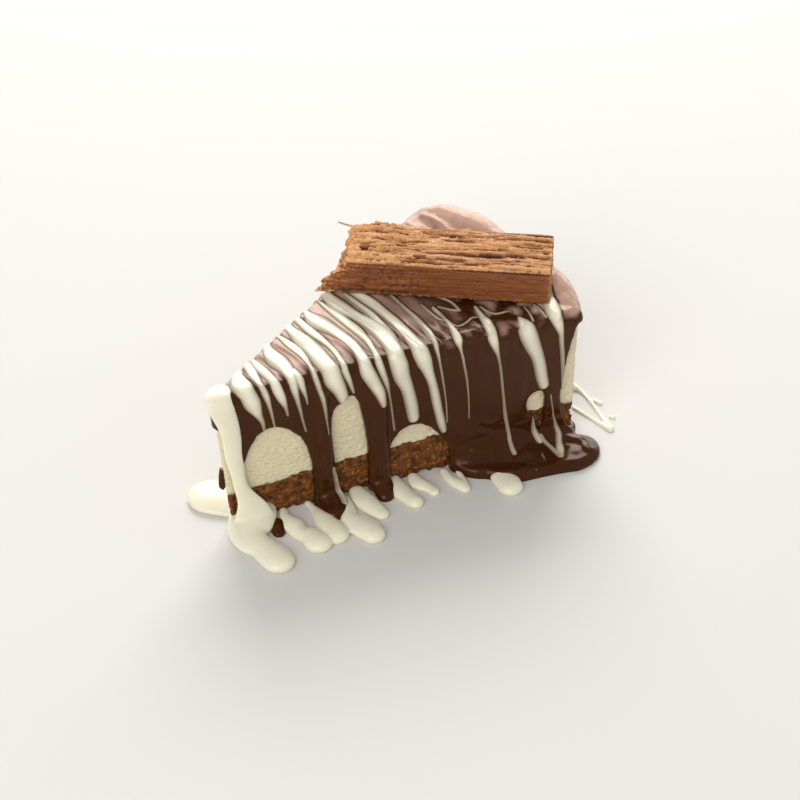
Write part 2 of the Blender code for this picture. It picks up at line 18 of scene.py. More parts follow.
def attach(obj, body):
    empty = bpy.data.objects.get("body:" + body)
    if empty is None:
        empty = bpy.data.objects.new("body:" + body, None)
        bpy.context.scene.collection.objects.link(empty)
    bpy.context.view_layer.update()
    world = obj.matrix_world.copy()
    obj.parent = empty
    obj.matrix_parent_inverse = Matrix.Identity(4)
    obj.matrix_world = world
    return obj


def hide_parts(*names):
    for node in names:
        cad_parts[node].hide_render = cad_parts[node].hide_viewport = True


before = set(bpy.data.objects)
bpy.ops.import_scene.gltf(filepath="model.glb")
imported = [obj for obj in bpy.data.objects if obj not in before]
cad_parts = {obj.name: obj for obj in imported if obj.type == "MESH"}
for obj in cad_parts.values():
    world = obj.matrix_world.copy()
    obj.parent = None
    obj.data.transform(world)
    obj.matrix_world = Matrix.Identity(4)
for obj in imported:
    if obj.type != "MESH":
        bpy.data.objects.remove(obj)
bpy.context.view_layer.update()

bl_info = {
    "name": "Cheesecake Slice",
    "version": (1, 0, 0),
    "blender": (4, 5, 0),
    "location": "View3D > Sidebar > Cheesecake",
    "description": "A cheesecake slice with poured sauces and a flaked chocolate bar",
    "category": "Add Mesh",
}

MM = 0.001
UP = Vector((0.0, 0.0, 1.0))

# The slice: a tenth of a ten-inch cheesecake, whose cut sides lean out towards the top
TIP_X = -63.5
RIM_RADIUS = 125.0
HALF_ANGLE = radians(18.0)
CUT_LEAN = 1.7 / 50.0
SLICE_CORNER = 1.2
BASE_TOP = 15.0
FILLING_TOP = 51.0
FILLING_EDGE = 2.2
FILLING_EDGE_INSET = 0.8
TIP_STEPS = 8
CORNER_STEPS = 5
RIM_STEPS = 40

# The sauce coat, with levels of (below the top, outward offset) that round its upper edge
COAT = 1.7
COAT_TOP = 53.7
COAT_EDGE = 4.0
COAT_CORNER = 3.2
COAT_ROUNDING = ((4.0, 1.7), (2.4, 1.3), (0.9, 0.4), (0.0, -0.9))
FLOOR_DEPTH = 3.0
LOWEST = -9.0
WINDOW_DEPTH = 9.0
HEM_DEPTH = 4.0

# What shows through the sauce on the near cut: rows of (along the cut, lowest, highest)
NEAR_WINDOWS = {
    "tip_edge": ((-9.0, LOWEST, 46.5), (-4.4, LOWEST, 46.0), (-3.2, LOWEST, 40.0), (-2.1, LOWEST, 33.0),
                 (-1.1, LOWEST, 25.0), (-0.3, LOWEST, 15.0), (0.6, LOWEST, 4.0)),
    "window_tip": ((5.6, 13.0, 17.5), (6.6, 8.0, 25.5), (8.7, 5.0, 31.4), (11.2, LOWEST, 35.7),
                   (14.4, LOWEST, 37.2), (17.4, LOWEST, 37.6), (21.5, LOWEST, 35.3),
                   (25.8, LOWEST, 30.6), (28.4, LOWEST, 25.0), (30.0, LOWEST, 18.0), (30.6, LOWEST, 8.0)),
    "window_tall": ((36.4, 15.0, 26.0), (37.0, LOWEST, 35.5), (38.0, LOWEST, 39.0), (40.5, LOWEST, 40.6),
                    (42.2, LOWEST, 42.6), (44.4, LOWEST, 42.2), (46.6, LOWEST, 38.0),
                    (48.4, LOWEST, 29.0), (49.5, LOWEST, 19.0), (49.9, LOWEST, 8.0)),
    "window_low": ((57.2, LOWEST, 15.5), (58.4, LOWEST, 19.0), (60.6, LOWEST, 22.0), (64.0, LOWEST, 23.6),
                   (67.8, LOWEST, 23.4), (71.5, LOWEST, 20.8), (74.8, LOWEST, 16.4),
                   (78.2, LOWEST, 11.0), (80.8, LOWEST, 5.0)),
    "window_lens": ((106.8, 18.0, 20.8), (107.6, 16.2, 22.8), (108.8, 15.0, 23.8), (110.6, 9.0, 24.2),
                    (112.2, 6.5, 23.6), (113.3, 10.0, 20.5)),
    "window_corner": ((119.2, 18.5, 24.0), (120.3, 11.0, 34.0), (122.0, 6.5, 42.0),
                      (123.8, 4.0, 48.5), (131.0, 4.0, 48.5)),
}

# The hem of the sauce on the far cut and the rim, with tongues of (place, height, half width)
FAR_HEM = 41.0
FAR_HEM_SPAN = (-6.0, 123.0, 129)
FAR_TONGUES = ((11.0, 22.0, 4.0), (26.0, 12.0, 5.0), (43.0, 27.0, 4.0), (58.0, 6.0, 5.5),
               (76.0, 20.0, 4.5), (93.0, 10.0, 5.0), (112.0, 24.0, 4.5))
RIM_HEM = 47.4
RIM_HEM_SPAN = (-16.6, 17.2, 104)
RIM_TONGUES = ((-8.0, 27.0, 1.6), (1.0, 15.0, 1.9), (8.5, 30.0, 1.5), (14.5, 8.0, 2.2))

# How the camera stands: turn about Z, height above the floor, lens and what it looks at
PICTURE = 800.0
SENSOR = 36.0
VIEW_TURN = radians(-40.7946)
VIEW_RISE = radians(37.3)
VIEW_DISTANCE = 0.900
VIEW_TARGET = Vector((0.023719, 0.014254, 0.0))
VIEW_LENS = 116.805

# The soft lights, in metres, with the setting that holds each one's power
SoftLight = namedtuple("SoftLight", "name setting place width height colour")
SOFT_LIGHTS = (
    SoftLight("back_soft_box", "back_light", (0.78, 0.92, 0.98), 1.0, 0.75, (1.0, 0.98, 0.95)),
    SoftLight("low_back_panel", "low_light", (1.25, 1.15, 0.5), 2.4, 0.9, (1.0, 0.98, 0.96)),
    SoftLight("left_soft_box", "side_light", (-1.0, -0.5, 0.8), 0.9, 0.9, (1.0, 0.99, 0.97)),
)
LIT_POINT = Vector((0.0, 0.0, 0.03))

# Drizzle stripes over the top and down the near cut, as the camera sees them: how each starts
# and rows of (down, left edge, right edge) in its picture
SeenStripe = namedtuple("SeenStripe", "start rows")
OVER_EDGE = "over the far edge"
UNDER_BAR = "under the bar"
LOOSE = "on its own"
ON_DRIP = "on the side of a thick drip"
STRIPES = (
    SeenStripe(OVER_EDGE, ((378, 226, 242), (386, 231, 250), (395, 239, 256), (405, 244, 262),
                           (415, 254, 263), (422, 260, 265), (430, 263, 266))),
    SeenStripe(OVER_EDGE, ((366, 238, 246), (375, 249, 257), (385, 257, 263), (395, 262.5, 269),
                           (405, 267, 271.5), (415, 270.5, 273.5), (426, 273.5, 275.5))),
    SeenStripe(OVER_EDGE, ((363, 247, 257), (371, 257, 268), (380, 267, 277), (390, 272, 283),
                           (400, 278, 287), (408, 284, 288), (415, 286.5, 289))),
    SeenStripe(OVER_EDGE, ((350, 256, 272), (360, 266, 285), (370, 278, 294), (380, 287, 297),
                           (390, 291, 298.5), (400, 295, 300), (410, 298.5, 302), (420, 301.5, 304),
                           (431, 305, 307))),
    SeenStripe(LOOSE, ((371, 287, 297), (380, 295, 304), (388, 299.5, 306), (396, 304, 307.5),
                       (404, 307, 308.5))),
    SeenStripe(OVER_EDGE, ((338, 275, 283), (347, 287, 298), (357, 299, 307), (367, 307, 313),
                           (377, 312, 318), (387, 316, 321.5), (397, 319.5, 324), (407, 322, 325.5),
                           (419, 324.5, 326.5), (432, 327, 328))),
    SeenStripe(OVER_EDGE, ((330, 279, 295), (340, 293, 311), (350, 303, 323), (360, 310, 332),
                           (370, 320, 339.5), (380, 324, 343.5), (390, 332, 347.5), (399, 338, 349.5))),
    SeenStripe(OVER_EDGE, ((322, 289, 303), (332, 306, 316), (342, 320, 328.5), (352, 331, 338.5),
                           (362, 338, 345), (372, 342, 349), (382, 347, 352.5), (392, 352, 355))),
    SeenStripe(OVER_EDGE, ((314, 298, 311), (322, 306, 328), (332, 325, 344), (342, 341, 356),
                           (352, 352, 365), (362, 358, 370), (372, 360, 375), (382, 366, 381),
                           (392, 373.5, 385), (402, 379, 386))),
    SeenStripe(OVER_EDGE, ((302, 310, 320), (312, 328, 337), (322, 340, 351), (332, 352, 364),
                           (342, 364, 371.5), (352, 371, 377.5), (362, 375, 382.5), (372, 379, 386),
                           (382, 383.5, 389), (395, 388, 390.5), (412, 391, 393), (430, 393.5, 395.5))),
    SeenStripe(OVER_EDGE, ((297, 316, 333), (307, 330, 349), (317, 348, 365), (327, 362, 385),
                           (337, 374, 396), (347, 383, 401), (357, 388, 405), (367, 391, 408.5),
                           (377, 394, 410.5), (387, 400, 413.5), (397, 403.5, 416), (407, 406, 418),
                           (418, 408.5, 419))),
    SeenStripe(UNDER_BAR, ((292, 338, 344), (302, 350, 358), (312, 363, 371), (322, 374, 382),
                           (332, 384, 392))),
    SeenStripe(UNDER_BAR, ((292, 347, 360), (302, 361, 377), (312, 376, 390), (322, 388, 402),
                           (332, 398, 412), (342, 406, 422), (352, 412, 429), (362, 417, 432.5),
                           (372, 423, 434), (382, 427.5, 436.5), (392, 430, 439), (402, 432, 441),
                           (412, 434.5, 443), (422, 437, 445.5), (430, 440.5, 447))),
    SeenStripe(UNDER_BAR, ((300, 394, 398), (310, 403, 409), (320, 414, 421), (330, 423, 430),
                           (340, 430.5, 436), (350, 435, 439), (362, 438.5, 441), (378, 441.5, 443.8),
                           (400, 445, 446.5), (422, 446.5, 448))),
    SeenStripe(LOOSE, ((308, 431, 435), (312, 433.5, 440), (320, 442, 448), (330, 449, 456),
                       (340, 454, 461.5), (350, 459.5, 462.5), (365, 463, 465.5), (380, 466, 468),
                       (400, 468, 469.5), (418, 468.5, 469.5))),
    SeenStripe(LOOSE, ((307, 473.5, 477), (317, 478.5, 486), (327, 483, 494), (337, 487, 497.5),
                       (347, 492, 499), (357, 497, 500), (370, 499.5, 502), (385, 501, 503.5),
                       (400, 502.5, 505), (415, 503.5, 507), (430, 506, 509.5), (443, 508.5, 512.5),
                       (453, 512, 517))),
    SeenStripe(LOOSE, ((319, 516.5, 524), (326, 516.5, 533), (336, 520, 538), (346, 525, 541.5),
                       (356, 531, 544), (366, 534, 546), (376, 536, 547.5), (385, 539, 549))),
    SeenStripe(UNDER_BAR, ((295, 547, 552), (303, 543, 557), (313, 546, 561), (323, 553, 563.5),
                           (333, 558, 564), (343, 559.5, 564), (355, 560.5, 564.5), (370, 561, 564),
                           (390, 561.5, 562.5))),
    SeenStripe(LOOSE, ((415, 533, 534.5), (422, 531.8, 536), (430, 531.5, 537), (438, 535, 540))),
    SeenStripe(LOOSE, ((434, 537, 541), (440, 541, 546), (446, 547, 552), (452, 553, 559),
                       (456, 557, 563))),
    SeenStripe(LOOSE, ((395, 550, 551.5), (408, 551.8, 553.2), (420, 553, 555.5), (430, 554, 559),
                       (442, 556, 562), (450, 556, 564), (456, 559, 564))),
    SeenStripe(ON_DRIP, ((468, 332.5, 335), (478, 334, 338.5), (486, 335.5, 342), (494, 338, 347),
                         (502, 342, 352), (508, 346, 355), (514, 351, 358))),
)
# Hidden stripes behind the bar: places along the far cut, with half widths
HIDDEN_STRIPES = ((84.0, 1.1), (93.0, 1.6), (101.5, 0.8))
# How far stripes hang down the far cut, in turn, and how much wider they are next to its edge
FAR_TAILS = (9.0, 12.5, 7.5, 14.0, 10.0)
FAR_SPREAD = (1.35, 1.2, 1.08)
# How far a stripe carries on under the bar
UNDER_REACH = 9.0
# A stripe's low dome: greatest rise, how far it spreads beyond its edges, height of its foot,
# (least rise, growth of the rise with the half width), and the rise of a thread
STRIPE_RISE = 0.85
STRIPE_SPREAD = 1.12
STRIPE_FOOT = 0.12
RISE_OF_WIDTH = (0.15, 0.26)
THREAD_RISE = 0.1
# How many steps inwards a stripe's seen edge may lie off the sauce
EDGE_STEPS = 13
# Half width from which a stripe is thick and ivory
FULL_WIDTH = 1.5
# The bare line beside a stripe: (how wide it is, how wide its edge is), and where the points
# that it is measured from lie between two stations
BARE_LINE = (0.35, 0.55)
BARE_SHARES = (0.0, 0.25, 0.5, 0.75)
# How a stripe is laid: steps across it, how deep it sinks in, spacing of its stations, and how
# far above and below its path the sauce is looked for
RIBBON_SIDES = 10
RIBBON_SINK = 0.35
STATION = 1.1
PROBE = 2.6

# Where the top takes the film colour, partly for white smeared thinly and partly as painted reflection of the
# back light on level chocolate: share of the way across from the near crease (start, span), along X from the
# bar towards the tip (start, span), and how level it has to be
FILM_SHEEN_ACROSS = (0.02, 0.3)
FILM_SHEEN_END = (24.0, 26.0)
FILM_SHEEN_LEVEL = 0.3
# Painted reflection of the back light on the lip, in the film colour: least radius, and stretches of it
# (middle and span in degrees, least height)
LIP_SHEEN_RIM = 107.0
LIP_SHEEN_STRETCHES = ((8.0, 19.0, 48.0), (-12.5, 9.0, 51.0))

# Long folds of chocolate on the top between the stripes: (along the far cut, along the near
# cut, half width), and how high they stand
FOLD_RISE = 0.7
CHOCOLATE_FOLDS = ((60.0, 58.6, 0.8), (66.5, 66.2, 0.9), (76.6, 74.6, 1.1), (83.6, 81.6, 1.3),
                   (93.6, 91.0, 1.6), (103.6, 102.4, 1.5), (114.2, 115.2, 1.3), (11.6, 11.8, 0.6),
                   (23.1, 22.5, 0.7), (31.5, 31.0, 0.8), (48.6, 47.4, 0.7))
# Thin white threads as the camera sees them, partly milky lines of white sauce and partly painted highlights
# on the folds laid as white threads: rows of (across, down, half width)
THREADS_AND_HIGHLIGHTS = (
    ((430, 296, 0.3), (440, 299, 0.45), (451, 304, 0.45), (460, 312, 0.35)),
    ((421, 306, 0.3), (430, 314, 0.45), (439, 321, 0.4), (447, 323, 0.3)),
    ((449, 322, 0.35), (456, 327, 0.5), (464, 325, 0.5), (471, 320, 0.45), (478, 318, 0.3)),
    ((480, 307, 0.3), (487, 312, 0.45), (496, 315, 0.5), (506, 314, 0.4), (511, 312.5, 0.3)),
    ((438, 307, 0.3), (446, 309, 0.4), (455, 311, 0.4), (460, 312, 0.3)),
    ((524, 307, 0.3), (529, 314, 0.4), (533, 321, 0.35)),
    ((534, 305, 0.3), (540, 311, 0.5), (546, 317, 0.4)),
    ((406, 312, 0.3), (414, 320, 0.4), (423, 330, 0.4), (430, 340, 0.3)),
    ((361, 310, 0.3), (372, 322, 0.4), (381, 334, 0.4), (388, 345, 0.3)),
)
# Small folds of chocolate as the camera sees them, in the same rows, and how high they stand,
# to which as much is added for each millimetre of half width
SMALL_FOLD_RISE = 0.25
SMALL_FOLDS = (
    ((434, 298, 0.8), (446, 302, 1.1), (455, 307, 1.1), (460, 312, 0.8)),
    ((425, 310, 0.8), (434, 318, 1.1), (446, 322, 1.0), (456, 328, 1.0), (466, 326, 1.1), (477, 318, 0.9)),
    ((482, 308, 0.8), (490, 314, 1.1), (500, 315.5, 1.1), (511, 313, 0.8)),
    ((463, 334, 2.2), (470, 332, 3.0), (477, 335, 2.2)),
    ((489, 322, 1.8), (500, 320, 2.8), (512, 325, 2.0)),
    ((524, 308, 0.8), (530, 315, 1.1), (536, 324, 0.9)),
    ((534, 304, 0.8), (541, 312, 1.1), (548, 320, 0.9)),
    ((468, 436, 1.0), (480, 431.5, 1.5), (492, 435, 1.6), (500, 442, 1.2)),
    ((474, 452, 1.4), (492, 449, 2.2), (508, 444, 1.4)),
    ((519, 458, 1.6), (531, 452, 3.2), (541, 460, 1.8)),
    ((503, 471, 1.4), (520, 469, 2.2), (534, 473, 1.4)),
    ((570, 438, 1.6), (582, 440, 2.4), (589, 448, 1.8)),
    ((481, 420, 0.8), (488, 424, 1.0), (497, 421, 0.8)),
)

# Chocolate on the floor: rows of (along the cut, out from the cut, half width, rise). A run's
# widest level lies SUNK_SHARE of the rise up.
SUNK_SHARE = 0.3
CHOCOLATE_RUNS = (
    ((35.0, -2.5, 4.4, 6.5), (35.8, 3.0, 5.0, 5.2), (35.2, 8.2, 4.3, 3.4)),
    ((53.8, -2.5, 3.8, 6.0), (54.0, 2.5, 3.9, 5.0), (53.8, 6.4, 3.2, 3.2)),
    ((11.5, 3.0, 3.0, 2.4), (15.0, 6.5, 3.0, 2.2), (14.6, 10.4, 2.4, 1.8)),
    ((116.0, 8.0, 8.0, 3.8), (121.5, 9.4, 8.8, 3.8)),
)

# How far white pools spread beyond their seen edges, and the surface steps of those that lie
# clear of the chocolate and of those that touch it
POOL_SPREAD = 0.5
POOL_GRAIN = 0.4
POUR_GRAIN = 0.45
# White pools on the floor as the camera sees them: rows of (left edge across, down, right edge
# across, down, rise)
WHITE_POOLS = (
    ((232, 513, 276, 513, 5.4), (228.5, 522, 275, 521, 4.6), (229, 535, 267, 531, 4.0),
     (237, 546, 269, 539, 3.6), (250, 552.5, 276, 543, 3.5), (260, 562, 285, 549, 3.8),
     (267, 568.5, 290, 554, 4.0)),
    ((280.5, 512, 286.5, 510, 1.8), (281.5, 519, 290, 516, 2.2), (285, 529, 301, 521, 2.8),
     (294, 536.5, 308, 530, 2.6), (303, 542, 319, 531, 3.2), (309, 549, 328, 536, 3.6)),
    ((306, 504, 309.5, 502, 1.2), (312, 511, 317, 508, 1.5), (315, 521, 330, 516, 2.8),
     (319, 532, 342, 525, 3.4), (325, 539, 346, 529, 3.4)),
    ((342, 501, 349, 498, 1.6), (343, 511, 354, 507, 2.2), (343, 523, 357, 515, 2.6),
     (350, 530, 366, 517, 2.8), (359, 536.5, 376, 523, 3.4), (366, 540, 381, 529, 3.4)),
    ((385, 480, 397, 476.5, 2.4), (390, 492, 406, 486, 2.7), (402, 500, 413, 493, 2.6),
     (411, 506, 420, 498.5, 2.8)),
    ((493, 481, 514, 473, 3.2), (501, 491, 520, 482, 3.4)),
)
LOOSE_POOLS = {
    "white_pool_tip": (((233, 481, 232, 516, 3.4), (214, 481, 213, 513, 3.6)),),
    "white_pool_left": (((350.5, 494.5, 364, 489.5, 2.4), (357, 505, 373, 497, 2.9),
                         (366.5, 512, 380.5, 504.5, 2.8), (375, 517, 386, 510, 2.4)),),
    "white_pool_middle": (((409.5, 480, 417, 475.5, 2.2), (413.5, 487.5, 422.5, 480, 2.3),
                           (424, 490, 431, 484.5, 2.0), (431, 494, 437, 489.5, 1.8)),),
    "white_pool_right": (((441.5, 473, 446.5, 470.5, 1.8), (448, 482, 453.5, 478, 2.0),
                          (457, 487.5, 463, 482, 2.2), (462, 490.5, 468, 486, 1.9)),
                         ((456, 471, 460, 471.5, 1.4), (459, 477.5, 464, 478, 1.6),
                          (463, 484, 468, 484.5, 1.9))),
}

# The puddle at the foot of the near cut: rows of (along the cut, reach, height on the cut)
PUDDLE_SKIRT = ((79.0, 2.6, 9.0), (82.0, 7.0, 11.0), (85.0, 9.6, 12.5), (89.0, 11.5, 13.0),
                (96.0, 16.2, 12.5), (103.0, 17.2, 10.4), (107.5, 17.6, 7.4), (112.0, 18.0, 6.8),
                (116.0, 18.6, 7.2), (119.5, 19.0, 6.2), (124.5, 17.6, 4.6))
SKIRT_RISE = 3.2
SKIRT_STEPS = 7

# The two thick drips between the windows: rows of (along the near cut, height, half width)
NEAR_DRIPS = (
    ((33.6, 46.0, 2.0), (34.0, 38.0, 2.4), (34.2, 28.0, 2.6), (34.6, 16.0, 3.2), (35.2, 4.0, 4.5)),
    ((53.0, 42.0, 2.4), (53.4, 32.0, 2.7), (53.6, 22.0, 2.9), (53.8, 12.0, 3.2), (53.8, 4.0, 3.8)),
)
DRIP_RISE = 1.9
DRIP_SUNK = 0.4

# The strokes of the splash behind the rim: rows of (x, y, half width, rise)
SPLASH_STROKES = (
    ((73.6, -19.5, 2.3, 1.8), (74.4, -24.0, 0.9, 1.0), (70.4, -37.0, 0.8, 1.0), (67.4, -45.0, 1.5, 1.4)),
    ((66.0, -28.6, 0.8, 1.0), (66.4, -37.0, 0.7, 0.9), (67.0, -45.6, 1.3, 1.2)),
)
# Its two drops, in rows like those of the white pools
SPLASH_DROPS = (((594, 399, 593, 400.5, 0.9), (601, 402.5, 600, 404, 0.9)),
                ((611, 416, 610.5, 417, 0.8), (614, 417, 613.5, 418, 0.8)))
# The splash's surface step, and how often that surface is evened out
SPLASH_GRAIN = 0.28
SPLASH_SMOOTHING = 4

# The broad stripe over the tip: its cap on the top, rows of (x, y, height, half width, share
# turned to the near cut), and its run down the near cut, rows of (along, out, height, half width)
TIP_CAP = ((-58.8, 3.6, 52.2, 1.8, 0.0), (-61.0, 2.0, 53.5, 3.2, 0.0), (-64.6, -0.6, 53.9, 4.4, 0.1),
           (-65.6, -2.4, 53.0, 4.5, 0.5))
TIP_STRIPE = ((-0.5, 1.9, 50.2, 4.2), (0.7, 1.9, 46.3, 3.9), (1.8, 1.8, 42.0, 3.55), (2.4, 1.7, 37.7, 3.4),
              (2.7, 1.7, 33.4, 3.2), (3.0, 1.7, 29.2, 3.0), (3.8, 1.7, 24.7, 2.75), (4.4, 1.7, 20.3, 2.45),
              (5.2, 1.8, 15.8, 2.6), (7.0, 2.0, 10.9, 3.7), (8.2, 2.6, 6.1, 6.0), (8.5, 3.2, 2.0, 7.6))
TIP_STRIPE_RISE = 1.3
TIP_DROP = ((1.0, 0.4, 23.0, 0.6), (1.0, 0.7, 19.5, 1.0), (0.9, 0.9, 16.0, 1.3), (1.0, 0.8, 14.6, 0.9))
TIP_DROP_RISE = 1.2

# How many sides the cross-sections of broad and narrow runs of sauce have
BROAD_SIDES = 20
DRIP_SIDES = 16
DROP_SIDES = 14
FOLD_SIDES = 10

# The lip of sauce along the rim: rows of (degrees, inset, height of its middle, half width,
# half height)
RIM_LIP = ((17.0, 2.4, 51.0, 5.0, 4.2), (14.5, 1.0, 52.0, 5.6, 5.6), (11.0, 0.6, 52.4, 6.0, 6.4),
           (7.0, 0.6, 52.6, 6.0, 6.6), (3.0, 1.2, 52.4, 5.5, 5.8), (-3.0, 1.8, 52.0, 5.5, 4.8),
           (-9.0, 1.5, 52.2, 6.0, 5.4), (-13.0, 1.6, 52.0, 5.8, 4.6), (-16.2, 2.2, 51.2, 4.8, 3.4))
RIM_FOLD = ((16.8, 5.0, 52.5, 1.6, 3.0), (13.5, 6.6, 52.8, 2.0, 4.2), (9.0, 8.6, 52.6, 2.2, 3.2),
            (3.0, 10.5, 52.0, 2.2, 2.6))

# The flaked bar lies across the slice, from the far edge to the near outer corner
BAR_LENGTH = 67.0
BAR_DEPTH = 18.5
BAR_HEIGHT = 12.9
BAR_BACK_RISE = 1.8
BAR_BOTTOM = 54.8
BAR_PLACE = (31.4, -2.0)
BAR_TURN = radians(-46.4)
BAR_STEPS = (210, 60, 40)
BAR_SEED = 7
# How far the foot and the knob of its ragged end stick out
BAR_FOOT = 10.0
BAR_KNOB = 1.8
# Along the bar: its raised stretch at the back (middle, half length, height)
BAR_BUMP = (-21.5, 6.0, 0.9)
# The top slopes down to the front: (where it starts across the bar, depth of the slope)
BAR_SHOULDER = (1.5, 3.0)
# Slits and holes of the top, cut in and painted with shade by their depth: (along, across, half length, half
# width, depth)
BAR_SLITS = ((-2.4, 6.1, 7.5, 0.7, 2.2), (23.0, 5.4, 11.5, 0.65, 2.2), (5.0, 3.4, 3.2, 0.9, 2.6),
             (26.0, -2.3, 9.0, 0.6, 1.8), (-28.0, -2.4, 1.9, 1.2, 2.6), (-16.0, -0.6, 1.8, 0.8, 2.4),
             (-9.6, -5.2, 2.4, 0.8, 2.4), (28.0, 1.9, 2.6, 0.7, 2.4), (31.4, -0.3, 1.2, 0.8, 2.2),
             (-14.0, 1.4, 8.0, 0.6, 1.8), (-6.0, -7.6, 12.0, 0.6, 1.6), (-27.0, 5.6, 5.0, 0.5, 1.6))
# Grooves along the front, as shares of the half height: on the right, on the left, and how wide
LONG_GROOVE = 0.79
LEFT_GROOVE = 0.9
GROOVE_HALF_WIDTH = 0.07
# The loose strand at the ragged end: rows of (x, y, z, half width)
BAR_STRAND = ((-37.8, 9.4, 8.6, 0.35), (-34.4, 8.8, 8.0, 0.35), (-30.0, 8.4, 7.4, 0.35),
              (-26.0, 8.4, 7.0, 0.3))
Flake = namedtuple("Flake", "x y half_length width height skew seed")


def linear(hex_colour):
    """Turn an sRGB hex value into a linear colour."""
    channels = [int(hex_colour[place:place + 2], 16) / 255.0 for place in (1, 3, 5)]
    return tuple(value / 12.92 if value <= 0.04045 else ((value + 0.055) / 1.055) ** 2.4
                 for value in channels)


def colour_property(name, description, hex_colour):
    """Return a colour property that starts from an sRGB hex value."""
    return FloatVectorProperty(name=name, description=description, subtype="COLOR", size=3,
                               min=0.0, max=1.0, default=linear(hex_colour))


class SliceSettings(bpy.types.PropertyGroup):
    """The cake under the sauces."""

    biscuit: colour_property("Biscuit", "Colour of most biscuit crumbs", "#804506")
    # Darker crumbs, also used as painted shade in the hollows between grains.
    dark_crumbs_and_shade: colour_property("Dark crumbs", "Colour of the darker crumbs", "#4a2606")
    biscuit_light: colour_property("Light crumbs", "Colour of the lighter crumbs", "#a56c28")
    cream: colour_property("Cream", "Colour of the cream filling", "#f1e4c0")
    crumb_size: FloatProperty(name="Crumb size", description="Width of one biscuit crumb in millimetres",
                              default=1.5, min=0.5, max=6.0)
    crumb_depth: FloatProperty(name="Crumb depth", description="Depth of the crumbs' relief in millimetres",
                               default=0.8, min=0.0, max=2.0)


class SauceSettings(bpy.types.PropertyGroup):
    """The poured sauces."""

    chocolate: colour_property("Chocolate", "Colour of the chocolate sauce", "#3f1f08")
    gloss: colour_property("Gloss", "Tint of the light that the chocolate sauce throws back", "#ffdcc6")
    # Colour of the film, which also paints the reflection on the lip and the sheen on the top.
    film: colour_property("Milky film", "Colour of white sauce smeared thinly over chocolate", "#cba793")
    white: colour_property("White sauce", "Colour of the white sauce where it is thick", "#f3edd4")
    white_thin: colour_property("Thin white sauce", "Colour of the white sauce at its thin edges", "#8f8168")
    grain: FloatProperty(name="Surface step", description="Size of one face of the sauce in millimetres",
                         default=0.515, min=0.3, max=2.0)
    smoothing: IntProperty(name="Smoothing", description="How often the sauce's surface is evened out",
                           default=9, min=0, max=40)


class BarSettings(bpy.types.PropertyGroup):
    """The flaked chocolate bar."""

    # The edge colour is painted highlight on the raised flake edges, the shade colour painted shade between
    # the flakes.
    flake: colour_property("Flake", "Colour of the bar's flat sides", "#8a4d22")
    flake_lit_edge: colour_property("Flake edges", "Colour of the raised, dusty edges", "#dca067")
    flake_shade: colour_property("Flake shade", "Colour deep between the flakes", "#47240e")
    ledge: FloatProperty(name="Ledge", description="How far the flakes stand out in millimetres",
                         default=1.0, min=0.0, max=2.5)


class StudioSettings(bpy.types.PropertyGroup):
    """The floor and the lights."""

    floor: colour_property("Floor", "Colour of the plain pale floor", "#d8d5d0")
    back_light: FloatProperty(name="Back light", description="Power of the soft light behind, in watts",
                              default=17.0, min=0.0, max=200.0)
    low_light: FloatProperty(name="Low back light",
                             description="Power of the wide low panel behind, in watts",
                             default=17.0, min=0.0, max=200.0)
    side_light: FloatProperty(name="Side light", description="Power of the soft light at the left, in watts",
                              default=9.0, min=0.0, max=200.0)
    sky: FloatProperty(name="Sky", description="Strength of the even light all round",
                       default=0.53, min=0.0, max=5.0)


# Shapes


def cut_frame(side):
    """Return the direction along a cut from the tip, and its outward normal."""
    along = Vector((cos(HALF_ANGLE), side * sin(HALF_ANGLE), 0.0))
    outward = Vector((-sin(HALF_ANGLE), side * cos(HALF_ANGLE), 0.0))
    return along, outward


def cut_point(side, distance, out, height):
    """Return the point at a distance along a cut, out from its leaning face."""
    along, outward = cut_frame(side)
    lean = CUT_LEAN * height
    return Vector((TIP_X, 0.0, height)) + along * distance + outward * (out + lean)


def rim_point(angle, out, height):
    """Return the point at an angle round the rim, out from its face."""
    radius = RIM_RADIUS + out
    return Vector((TIP_X + radius * cos(angle), radius * sin(angle), height))


def round_corner(centre, radius, start, stop, steps):
    """Return the points of an arc about a corner's centre."""
    angles = (start + (stop - start) * step / steps for step in range(steps + 1))
    return [centre + Vector((cos(angle), sin(angle), 0.0)) * radius for angle in angles]


def slice_outline(out, corner, height):
    """Return the slice's plan outline at a height, moved out and with round corners."""
    normal = pi / 2.0 + HALF_ANGLE
    inset = corner - out - CUT_LEAN * height
    radius = RIM_RADIUS + out - corner
    reach = HALF_ANGLE - asin(inset / radius)
    origin = Vector((TIP_X, 0.0, height))
    tip = origin + Vector((inset / sin(HALF_ANGLE), 0.0, 0.0))
    near = origin + Vector((cos(reach), -sin(reach), 0.0)) * radius
    far = origin + Vector((cos(reach), sin(reach), 0.0)) * radius
    points = round_corner(tip, corner, normal, 2.0 * pi - normal, TIP_STEPS)
    points += round_corner(near, corner, -normal, -reach, CORNER_STEPS)
    points += round_corner(origin, radius + corner, -reach, reach, RIM_STEPS)[1:-1]
    points += round_corner(far, corner, reach, normal, CORNER_STEPS)
    return points


